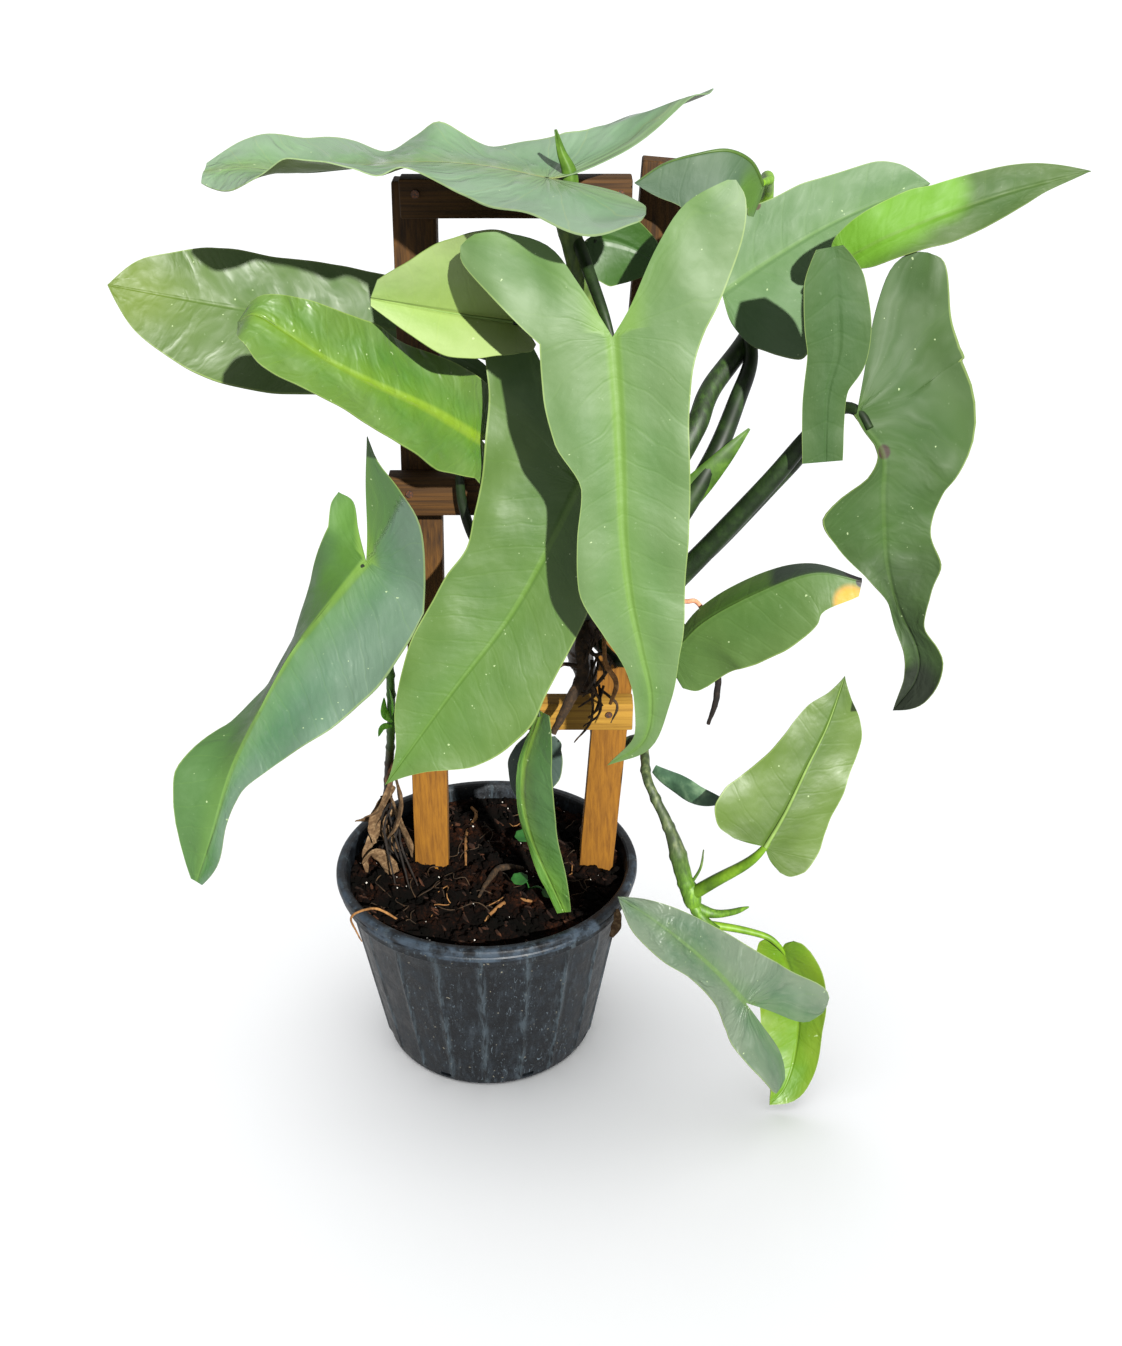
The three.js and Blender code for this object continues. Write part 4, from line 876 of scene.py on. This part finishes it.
def leaf_skin(name, colours, at=(0, 1), bold=(0.6, 0.4), rough=0.5, marks=(), turned=None,
              streaks=0.14, relief=0.3):
    """Waxy leaf skin: tones from joint to tip, then a silver bloom and a pale midrib, veins and rim."""
    *greens, silver, rib = colours.split()
    skin = Paint(name, specular=0.34)
    flat, veins = (skin.add("Attribute", {"attribute_name": layout}, "Vector") for layout in ("flat", "veins"))
    order, beside, along = skin.axes(veins)
    _, across, edge = skin.axes(flat)
    cloud, pucker, fine, dot = skin.noise(15, 3), skin.noise(42), skin.noise(330, 3), skin.noise(230, 1)
    wander = skin.math("MULTIPLY_ADD", cloud, 0.03, order)
    side_vein = skin.math("PINGPONG", wander, VEIN_SPACING * MM)
    along_veins = skin.add("CombineXYZ", {0: wander, 1: skin.math("MULTIPLY", edge, 0.03)})
    streak = skin.noise(240, 4, on=along_veins)
    swell = skin.noise(62, 2, distortion=0.4, on=along_veins)

    # Tones from joint to tip; on right_torn and low_centre they also carry painted shade on part of the blade.
    colour = skin.ramp(along, dict(zip(at, greens)))
    # A second colour on one half from a point along the blade: a greener r half on left_drooping, a painted shadow
    # on lower_right and painted light on low_centre.
    if turned:
        half_colour, blur, start = turned
        share = skin.math("MULTIPLY", skin.rising(across, -blur, blur, 0.9),
                          skin.rising(along, start, start + 0.06))
        colour, silver = (skin.over(share, below, half_colour) for below in (colour, silver))
    width, strength = bold
    # Pattern, where it starts, where it is full, how strong it gets there, and its colour.
    layers = [
        (skin.math("MULTIPLY_ADD", edge, 0.45, cloud), 0.5, 1.0, 0.75, silver),
        (pucker, 0.42, 0.72, 0.22, silver), (swell, 0.45, 0.7, 0.06 + 0.14 * relief, silver),
        # Silver streaks along the veins: partly the leaf's silver markings, partly a painted sheen.
        (side_vein, 0.0006, 0.0, 0.1, rib), (streak, 0.5, 0.72, streaks, silver),
        (edge, 0.5, 0.0, 0.35 * strength, rib), (fine, 0.68, 0.76, 0.12, "#7C8A70"),
        (dot, 0.77, 0.8, 0.5, "#8C9A74"),
    ]
    for x, w, radius, stain, soft in marks:
        offset = skin.math("SUBTRACT", flat, (x * MM, w * MM, 0), kind="VectorMath")
        level = skin.math("MULTIPLY", offset, (1, 1, 0), kind="VectorMath")
        away = skin.math("LENGTH", level, kind="VectorMath", output="Value")
        ragged = skin.math("MULTIPLY_ADD", cloud, 0.6 * radius * MM, away)
        layers.append((ragged, radius * (1.3 + soft) * MM, radius * (1.3 - soft / 2) * MM, 1.0, stain))
    layers.append((edge, 0.975, 0.985, 0.4, "#66763C"))
    for value, low, high, top, above in layers:
        colour = skin.over(skin.rising(value, low, high, top), colour, above)
    middle = skin.math("MULTIPLY", skin.rising(beside, 1.5 * width, 0.5 * width, strength),
                       skin.rising(along, 1.3, 0.2))
    normal = None
    for height, strength, distance in (
            (swell, 0.55, 0.0035 * relief), (pucker, 0.5, 0.0022), (streak, 0.1 + streaks / 2, 0.0009),
            (skin.rising(side_vein, 0.0, 0.002), 0.15, 0.0005), (skin.rising(beside, 0.2, 1.8), 0.5, 0.0012),
            (fine, 0.12, 0.0004)):
        normal = skin.bump(height, strength, distance, normal)
    return skin.coat(skin.over(middle, colour, rib), normal,
                     skin.level(swell, 0.3, 0.7, rough + 0.14 * relief, rough - 0.16 * relief))


def stalk_skin(name, colours):
    """Leaf stalk skin: smooth, juicy green with fine lengthwise streaks."""
    skin = Paint(name, 0.5, 0.22)
    streak = skin.noise(46, 6, 0.6)
    return skin.coat(skin.ramp(streak, tones(colours)), skin.bump(streak, 0.2, 0.0005))


pale_underside = leaf_skin("leaf_underside_pale", "#445422 #405025 #4C592E #536326")
# The left underside leaf: a pale yellow-green underside, made brighter still as painted light, for sun shining
# through it and on the part lying in shadow.
underside_tone_and_sunlight = leaf_skin("leaf_underside_left_underside", "#5F7137 #5B713B #6C7B4E #74833B")
shoot_underside = leaf_skin("leaf_underside_trailing_upright", "#2A3C0A #2E430F #3C4F19 #304A0B")
green_stalk = stalk_skin("green_leaf_stalk", "#060D03 #0D1A06 #1E3010")
shoot_stalk = stalk_skin("shoot_leaf_stalk", "#2C4408 #42600C #5C7A18")
bright_stalk = stem_skin("yellow_green_stalk", 0.84, 0.7, "#395A0A #51740E #688E1B",
                         tones("#0A1404 #142408 #243A10"), 0.7)
light_rib = stalk_skin("pale_green_midrib", "#4A5E28 #536830 #5E733A")
rib_skin = stalk_skin("yellow_green_midrib", "#24380E #2E4414 #3A4F1C")
SMALL_BLADE, LARGE_BLADE, STRIP = (12, 40, 12), (22, 64, 18), (0, 48, 10)


def grow_leaf(name, petiole, radii, skin, stalk_paint=green_stalk, under=None, strip=None, **shape):
    """Makes one leaf of its blade, midrib, torn strip and stalk.

    The midrib runs from the joint to the tip and the petiole from the joint to the stem. Face is
    where the upper side looks, fold and curl bend the halves up, lift raises a lobe and rim the
    edge. A mark is x, w, radius, colour and softness on the flat blade.
    """
    blade, underside = Blade(shape), under or pale_underside
    thin, thick = radii
    fineness = SMALL_BLADE if len(shape["l"]["widths"]) < 10 else LARGE_BLADE
    parts = [blade.mesh(*fineness, (leaf_skin(f"leaf_skin_{name}", **skin), underside)),
             blade.rib(light_rib if under else rib_skin, thin * 0.5)]
    if strip:
        strip_skin = leaf_skin("leaf_skin_torn_strip", **strip["skin"])
        parts.append(merged([Blade(strip).mesh(*STRIP, (strip_skin, underside))]))
    bends = len(points_of(petiole)) - 2
    swelling = [thin + (thick - thin) * math.sqrt((i + 1) / bends) for i in range(bends)]
    parts.append(stalk("petiole", petiole, [thin * 0.6, thin * 1.1] + swelling, 14))
    parts[-1].data.materials.append(stalk_paint)
    piece = joined(parts)
    piece.name = f"leaf_{name}_blade"
    finished(piece, "leaf", None, [f"leaf_{name}"], 50)


grow_leaf(
    "centre_front",
    midrib="111 -160 759, 115 -168 715, 118 -176 665, 121 -183 612, 127 -188 565, 136 -191 524, 145 -192 481, "
        "140 -188 441, 112 -178 413",
    face="0 -1 0.25, 0 -1 0.15", fold="12 6", curl=-12,
    l=half("67 54 51 51 49 44 38 26 13 7", "-98 94", "-84 100, -58 96, -22 80",
        "-98 86, -85 57, -57 35, -21 15"),
    r=half("53 54 48 30 35 38 26 15 13 8", "-72 102", "-60 102, -37 85, -14 66",
        "-79 90, -77 66, -65 39, -38 21"),
    petiole="111 -157 757, 104 -145 775, 95 -125 796, 88 -106 812, 84 -98 816", radii=(3.5, 5),
    skin=dict(colours="#304A20 #375023 #3F532F #445F1F", bold=(1.7, 0.8), rough=0.58, relief=0.2))
grow_leaf(
    "left_hanging", midrib="89 -105 628, 65 -115 581, 31 -125 521, -18 -138 457, -75 -150 377",
    face="-0.2 -1 0.2, -0.1 -1 0.3", fold="8 4", curl=-8,
    l=half("56 52 50 54 57 62 69 65 52 20", "-58 42", "-50 56, -25 60", "-50 26, -25 9"),
    r=half("84 73 65 58 61 58 54 44 30 9", "-86 104", "-80 114, -60 114, -30 96", "-82 86, -62 58, -30 18"),
    petiole="89 -103 627, 98 -96 640, 108 -84 655, 112 -76 660", radii=(3.5, 5),
    skin=dict(colours="#263F12 #314B17 #384D1E #405C15", bold=(0.8, 0.45)))
grow_leaf(
    "far_left", midrib="-38 34 714, -109 28 726, -197 12 742, -297 0 763", face="0 -1 0.6", fold="8 4",
    l=half("50 56 62 66 68 70 68 62 50 34", "-70 46", "-44 60", "-46 18"),
    r=half("42 44 45 47 47 47 48 45 38 28", "-50 44", "-30 52", "-34 18"),
    petiole="-42 35 713, -10 40 700, 40 22 690, 76 -30 684, 98 -80 680", radii=(3.5, 5.5),
    skin=dict(colours="#223B10 #2A4012 #3D4E11 #33451D #415213", at=(0, 0.6, 1), bold=(0.4, 0.25), rough=0.62,
        relief=1, streaks=0.25, marks=[(262, 0, 34, "#3E4E14", 0.9)]))
grow_leaf(
    "left_front",
    midrib="10 -74 655, -28 -103 689, -69 -130 718, -99 -146 740, -124 -158 762, -143 -162 775, -159 -150 767",
    face="-0.2 -0.7 0.7, -0.2 -0.7 0.7, -0.5 -0.5 0.7", fold="10 5",
    l=half("33 40 46 42 37 34 31 30 33 26", "-40 30", "-26 37", "-30 12", fold="-2 5"),
    r=half("45 44 43 43 43 44 41 36 30 18", "-50 44", "-30 51", "-36 18"),
    petiole="8 -74 653, -6 -70 640, -8 -66 600, 8 -66 555, 50 -64 512, 100 -62 496", radii=(3.5, 5.5),
    skin=dict(colours="#284D10 #2E4D17 #38521B #405524 #526917", at=(0, 0.5, 1), bold=(1.5, 0.9), rough=0.44,
        relief=1.5))
grow_leaf(
    "left_underside", midrib="39 -82 752, -13 -106 765, -65 -130 780", face="0 1 0.35",
    l=half("66 71 74 70 58 40", "-20 50", "-12 62", "-14 20", end=16),
    r=half("26 33 38 36 28 17", "-14 18", "-9 24", "-9 8", fold="-72 -58", end=6),
    petiole="37 -84 751, 56 -84 756, 76 -86 764, 94 -87 768", radii=(3, 5), under=underside_tone_and_sunlight,
    skin=dict(colours="#475B27 #405826 #4E6136 #5B6E29"))
grow_leaf(
    "top", midrib="65 -115 861, 16 -108 869, -42 -100 870, -115 -95 863, -158 -95 866, -185 -95 863",
    face="0 0 1", wave=6,
    l=half("80 72 62 57 56 56 56 54 48 34", "-76 50", "-72 67, -52 82.5, -24 84.5", "-72 32, -52 14, -22 2",
        lift=6,
        rim="0 -16, 0.1 -14, 0.2 -10, 0.3 -3, 0.37 0, 0.44 -5, 0.52 5, 0.6 13, 0.7 15, 0.8 2, 0.93 -12, 1 -6",
        end=14),
    r=half("56 58 58 56 56 58 60 58 52 40", "-100 96", "-80 100, -46 84, -20 64", "-94 74, -66 42, -28 14",
        lift=31.5,
        rim="0 22, 0.1 10, 0.2 6, 0.3 15, 0.36 20, 0.42 10, 0.5 3, 0.6 13, 0.7 18, 0.8 19, 0.9 14, 1 4",
        end=14),
    petiole="60 -114 860, 66 -114 858, 71 -110 850, 74 -106 842", radii=(3.5, 5),
    skin=dict(colours="#425C40 #466438 #566656 #7F7C3A", bold=(0.5, 0.3), rough=0.46, relief=2))
grow_leaf(
    "behind_centre", midrib="96 -87 816, 122 -87 810, 155 -86 794", face="0 -1 0.1",
    l=half("12 18 20 16 10", "-6 6", "-3 9", "-3 3"), r=half("18 30 32 26 14", "-6 10", "-3 14", "-3 3"),
    petiole="100 -87 814, 95 -85 804, 91 -88 792, 91 -92 780", radii=(2.5, 4),
    skin=dict(colours="#1C3908 #163307 #233F0F #284909", bold=(0.4, 0.2)))
grow_leaf(
    "back_right", midrib="227 -60 850, 215 -72 868, 196 -82 877, 175 -86 875, 150 -86 868, 128 -86 854",
    face="0.5 0 0.8, 0 0 1, 0 0 1", fold="-70 -80", l=half("24 48 62 56 44 32", "-10 24", "-4 28", "-6 10"),
    r=half("18 36 44 44 38 26", "-12 22", "-6 26", "-6 8", fold="-45 -60 -84 -88 -88"),
    petiole="225 -62 851, 234 -34 849, 238 8 845, 243 44 824, 240 40 780, 236 16 727, 198 -26 684, "
        "184 -50 658, 158 -66 620, 118 -76 590",
    radii=(4, 10), stalk_paint=bright_stalk,
    skin=dict(colours="#2B4217 #243924 #223823 #304230 #374A24", at=(0, 0.3, 1), rough=0.66,
        marks=[(8, 20, 14, "#2E4A0E", 0.9)]))
grow_leaf(
    "right", midrib="204 -15 760, 235 -5 779, 283 5 806, 331 15 826, 372 22 839", face="0.1 -1 0.7", fold="6 4",
    l=half("52 52 50 44 40 39 36 34 32 24", "-40 54", "-24 60", "-28 20"),
    r=half("62 84 78 68 59 49 39 29 20 10", "-9 40", "-6 52", "-8 22"),
    petiole="207 -12 760, 222 3 746, 232 -8 708, 219 -34 676, 197 -62 632, 162 -74 576, 126 -70 540",
    radii=(4.5, 10),
    skin=dict(colours="#324C28 #344D2B #415638 #486327", bold=(0.6, 0.3), rough=0.68, relief=0.5,
        marks=[(60, 42, 3, "#2E2311", 0.2)]))
grow_leaf(
    "far_right", midrib="290 -75 798, 327 -82 819, 400 -75 844, 470.7 -60 859", face="0.1 -1 0.6", fold="8 4",
    l=half("18 23 25 26 23 22 21 19 15 9", "-8 8", "-5 14", "-5 3"),
    r=half("9 17 19 20 22 21 18 13 7 3", "-5 4", "-3 7", "-3 2"),
    petiole="294 -76 799, 290 -80 785, 288 -92 748, 284 -98 703, 269 -93 658, 243 -82 618, 190 -64 548, "
        "150 -62 520, 120 -62 508",
    radii=(4, 8.5),
    skin=dict(colours="#2B4000 #273D03 #1E3708 #253A0D #2B3E13 #374B08", at=(0, 0.25, 0.6, 1), bold=(0.5, 0.3),
        rough=0.7, relief=0.5, marks=[(22, 12, 24, "#3C6200", 0.7), (50, 14, 22, "#3C6200", 0.7),
        (78, 16, 18, "#3C6200", 0.7)]))
grow_leaf(
    "right_torn",
    midrib="298 -130 694, 305 -134 684, 319 -140 664, 322 -144 630, 329 -146 581, 341 -150 544, 361 -152 505, "
        "363 -150 477, 349 -145 446",
    face="0.1 -1 0.3, 0.1 -1 0.2", fold="4 0", wave=10,
    l=half("90 84 58 44 36 40 28 14 24 19", "-72 106", "-60 112, -40 105, -16 95",
        "-79 96, -78 80, -64 60, -40 36", fold="4 0 0 20 50 55 55"),
    r=half("3 3 14 50 36 17 6 10 12 8"),
    strip=dict(midrib="269 -128 816, 275 -131 779, 279 -133 743, 274 -134 713, 275 -134 682, 277 -134 657",
        face="0 -1 0.2", l=half("8 22 24 22 15 14", end=13), r=half("12 24 25 22 18 18", end=18),
        skin=dict(colours="#1B3709 #183207 #22390E #294506", bold=(0, 0), rough=0.7)),
    petiole="308 -136 684, 300 -126 694, 288 -116 693, 270 -110 674, 238 -104 628, 186 -86 556, 150 -76 512, "
        "122 -66 486",
    radii=(5, 10),
    # Painted shade: the tones turn near black past the middle of the blade, and a dark mark covers the tip; the
    # small brown mark by the joint is the callus.
    skin=dict(colours="#193207 #1C3506 #0F2104 #0A1B03 #22370E #2D4606", at=(0, 0.4, 0.52, 1), bold=(0.7, 0.3),
        rough=0.75, relief=0.8, marks=[(36, 1, 5, "#1E1006", 0.3), (250, 0, 30, "#0A1404", 0.5)]))
grow_leaf(
    "lower_right", midrib="167 -112 481, 192 -122 516, 234 -132 547, 275 -140 567, 312 -145 562",
    face="0 -1 0.5", l=half("7 15 22 26 27 24 18 11", "-8 4", "-5 6", "-5 2", fold="-58 -60 -58", end=5),
    r=half("40 45 49 52 52 48 41 29", "-16 26", "-10 36", "-10 10", fold="0 -6", end=12),
    petiole="170 -112 484, 160 -106 475, 142 -90 464, 122 -72 456, 104 -44 462", radii=(3, 5.5),
    # Painted shadow: the l half past the middle is coloured blue-black; the yellow and black marks are the dry tip.
    skin=dict(colours="#274010 #2A4410 #34491B #3D5813", bold=(0.3, 0.2), rough=0.6,
        turned=("#121C16", 0.0012, 0.56), marks=[(177, -17, 11, "#8E6400", 0.5), (176, 9, 9, "#080503", 0.15),
        (182, 0, 5, "#080503", 0.15)]))
grow_leaf(
    "trailing_upright", midrib="256 -120 294, 273 -112 325, 292 -100 367, 308 -90 402, 321 -80 445",
    face="0.1 1 0.2", l=half("46 47 43 41 41 39 38 35 26 11", "-16 26", "-15 36, -6 44", "-10 12"),
    r=half("50 62 60 52 44 37 32 28 22 8", "-5 30", "-3 44", "-3 14"),
    petiole="259 -120 298, 250 -118 283, 239 -110 266, 217 -96 240, 198 -86 218", radii=(4, 6.4),
    stalk_paint=shoot_stalk, under=shoot_underside,
    skin=dict(colours="#3A5612 #3D5218 #475924 #466312", bold=(0.9, 0.7),
        marks=[(163, -22, 2.2, "#0E0805", 0.2)]))
grow_leaf(
    "trailing_low", midrib="242 -165 154, 206 -175 205, 160 -185 257, 122 -195 294", face="0.1 -0.7 0.7",
    fold="3 0", wave=9, l=half("31 24 21 25 20", "-102 32", "-95 41, -62 41, -21 37", "-98 20, -69 8, -31 3"),
    r=half("47 38 30 23 14", "-90 48", "-82 60, -62 63, -30 54", "-84 34, -67 23, -30 11"),
    petiole="240 -164 157, 238 -148 150, 226 -122 162, 212 -102 188", radii=(2.5, 4), stalk_paint=shoot_stalk,
    skin=dict(colours="#263D28 #2E402E #475143 #3C5226", bold=(0.8, 0.7), rough=0.5, relief=2.2, streaks=0.3))
grow_leaf(
    "trailing_behind", midrib="284 -100 163, 302 -104 106, 303 -114 54, 293 -130 22, 277 -141 7",
    face="0 -1 0.2", l=half("28 34 31 27 25 20", "-12 14", "-9 22", "-7 4", fold="30 40 20"),
    r=half("26 34 36 36 34 26", "-14 12", "-11 20", "-8 4", fold="-20 0 10"),
    petiole="287 -100 158, 279 -101 170, 268 -99 178, 243 -96 184, 214 -95 189", radii=(2.5, 4),
    stalk_paint=shoot_stalk, skin=dict(colours="#3D5D01 #345501 #4B6009 #4E6702", relief=0.6))
grow_leaf(
    "left_drooping",
    midrib="-89 -78 551, -124 -94 514, -154 -108 479, -183 -126 431, -206 -140 386, -228 -148 325, "
        "-247 -148 276",
    face="-0.4 -1 0.2, -0.3 -1 0.2", fold="8 4",
    l=half("69 77 80 77 68 49 30 14 10 14", "-80 -53", "-70 -34, -64 -4, -50 30", "-50 -36, -20 -14", lift=58,
        end=6),
    r=half("48 48 44 40 40 42 48 50 42 28", "-28 62", "-16 60", "-30 46, -16 26",
        fold="-10 -42 -64 -66 -46 -4 8 0", end=6),
    petiole="-92 -80 548, -90 -68 540, -89 -46 508, -87 -30 465, -84 -22 438", radii=(3, 4),
    skin=dict(colours="#304B32 #2E4B34 #294924 #24451C #405144 #526D26", at=(0, 0.4, 0.8, 1), bold=(1.3, 0.5),
        rough=0.55, relief=0.7, streaks=0.25, turned=("#2C481C", -0.003, -0.1),
        marks=[(0, -14, 15, "#2C4A10", 0.9), (36, -14, 15, "#2C4A12", 0.9), (72, -13, 14, "#2A4814", 0.9),
        (110, -12, 12, "#284616", 0.9), (-20, -40, 16, "#35541C", 0.9)]))
grow_leaf(
    "low_centre", midrib="56 -70 404, 41 -85 353, 45 -92 293, 77 -97 205", face="-0.3 -1 0.2",
    l=half("10 28 33 28 20", fold="20 20 15 15 10", end=7),
    r=half("4 7 8 8 8", fold="-30 -20 -20 -10 0", end=7),
    petiole="55 -72 400, 50 -62 425, 58 -52 455, 84 -52 484, 105 -54 490", radii=(2.5, 4),
    # Painted light and shade: the tones stay dark from the joint to past the middle and lighten toward the tip, and
    # the narrow r half gets a lighter colour, for shadow on the wide l half and upper blade and sun on the lower
    # blade and r half.
    skin=dict(colours="#1D3013 #213917 #38571D #456320 #2A4620 #475F1B", at=(0, 0.5, 0.8, 1), bold=(1, 0.7),
        relief=0.8, turned=("#34541A", -0.003, -0.1)))
grow_leaf(
    "low_behind", midrib="54 -28 350, 45 -34 324, 35 -38 290", face="-0.1 -1 0.3", fold="8 4",
    l=half("22 28 30 26 18", "-10 12", "-6 20", "-5 4"), r=half("14 20 22 18 12", "-8 8", "-5 12", "-5 3"),
    petiole="53 -28 347, 60 -14 352, 84 8 346, 108 26 334", radii=(2, 3),
    skin=dict(colours="#1B2C23 #1B2C23 #26332D #293A21"))


# Rolled new leaf, split sheath and bract
# The next leaf, still rolled to a spike; the sheath it will leave, split open and green;
# and a dry-edged bract where the trailing stem forks.

sheath_skin = stalk_skin("fresh_sheath_skin", "#1C3008 #2C460E #44601C")
bract_skin = stalk_skin("blue_green_bract", "#1C3022 #304834 #586E54")
SHEATHS = {
    "new_leaf": ("80 -101 838, 80 -104 862, 74 -106 878, 70 -107 893", "5 6 3.6 0.8", 1.0, sheath_skin),
    "split_sheath": ("132 -72 560, 160 -72 586, 182 -70 610, 204 -68 635, 227 -62 661",
                     "11 13 12 8 0.9", 0.3, sheath_skin),
    "trailing_bract": ("160 -52 334, 166 -56 331, 180 -62 325, 200 -78 321, 221 -92 324",
                       "5 10 12 9 2", 0.25, bract_skin),
}
for node, (path, radii, flat, skin) in SHEATHS.items():
    piece = stalk(node + "_skin", path, radii, 20, 2.0, lambda angle, along: 0.35 * math.cos(5 * angle), flat)
    finished(piece, "young_green", skin, [node])


# Dry sheaths and seedlings
# Papery brown sheaths fallen at the left of the pot, and two weed seedlings with round
# leaves on thread stalks.

def crinkled(angle, along):
    """Relief of dry paper: folds that twist along it and fine creases across."""
    return 0.8 * math.sin(4 * angle + along / 5) + 0.5 * math.sin(along / 2.5)


dry_sheath_skin = root_skin("papery_dry_sheath", "#2A1C0E #463420 #6A5840")
DRY_SHEATHS = {
    "dry_sheath_upper": ("-94 30 180, -104 28 212, -116 20 232, -130 8 238", "3 7 6 1.5"),
    "dry_sheath_lower": ("-92 -6 180, -100 -8 202, -112 -12 214, -122 -20 206", "3 8 6 1.5"),
}
for node, (path, radii) in DRY_SHEATHS.items():
    finished(stalk(node + "_paper", path, radii, 24, 1.6, crinkled, 0.28), "dry_sheath", dry_sheath_skin, [node])
scraps = [stalk("scrap", path, radii, 18, 2.0, crinkled, 0.25) for path, radii in (
    ("-88 10 306, -93 -4 284, -104 -10 262, -118 -14 256", "2 5 6 1"),
    ("-88 10 290, -82 -6 266, -88 -12 244, -96 -14 232", "2 7 6 1"),
    ("-90 12 276, -102 2 262, -112 -4 240, -110 -8 222", "2 6 5 1"),
    ("-94 14 262, -84 0 240, -76 -6 220, -74 -8 206", "2 5 7 1"),
    ("-92 20 244, -110 8 226, -120 -6 208, -118 -20 196", "2 5 5 1"),
    ("127 -80 196, 128 -82 186, 126 -84 176, 122 -84 166", "1 3.5 4.5 1.5"))]
finished(merged(scraps), "dry_sheath", dry_sheath_skin)
seedling_skin = stalk_skin("seedling_leaf", "#0E2F0E #184015 #264E1E")
# Paths of the shoots, then the centre, size and tilt of each round leaf.
SEEDLINGS = {
    "seedling_front": (["44 -40 180, 42 -40 195, 38 -40 203", "43 -40 190, 51 -48 199, 58 -55 199"],
                       [((34, -42, 203), 8.5, (-20, -10)), ((62, -59, 199), 7, (-25, 12))]),
    "seedling_back": (["46 34 180, 44 34 196, 41 33 204"], [((36, 32, 204), 9, (-25, -8))]),
}
for node, (shoots, leaves) in SEEDLINGS.items():
    parts = [stalk("shoot", path, "1 0.9 0.7", 8, 1.5) for path in shoots]
    for centre, size, (forward, sideways) in leaves:
        slopes = [math.sin(math.radians(angle)) for angle in (sideways, forward)]
        turn = Vector((*slopes, 1)).to_track_quat("Z", "Y")

        def place(u, t):
            """A round leaf, scalloped at its rim and dished a little."""
            angle = FULL_TURN * u
            r = size * min(t * 2, (1 - t) * 2) * (1 + 0.05 * math.cos(7 * angle))
            lift = 0.35 * (1 if t < 0.5 else -1) * (1 if 0 < t < 1 else 0.6)
            x, y = around(r, angle)
            return Vector(centre) + turn @ Vector((x, 0.85 * y, 1.6 * (r / size) ** 2 + lift))

        parts.append(moulded("round_leaf", 28, 12, place))
    finished(merged(parts), "leaf", seedling_skin, [node], 40)
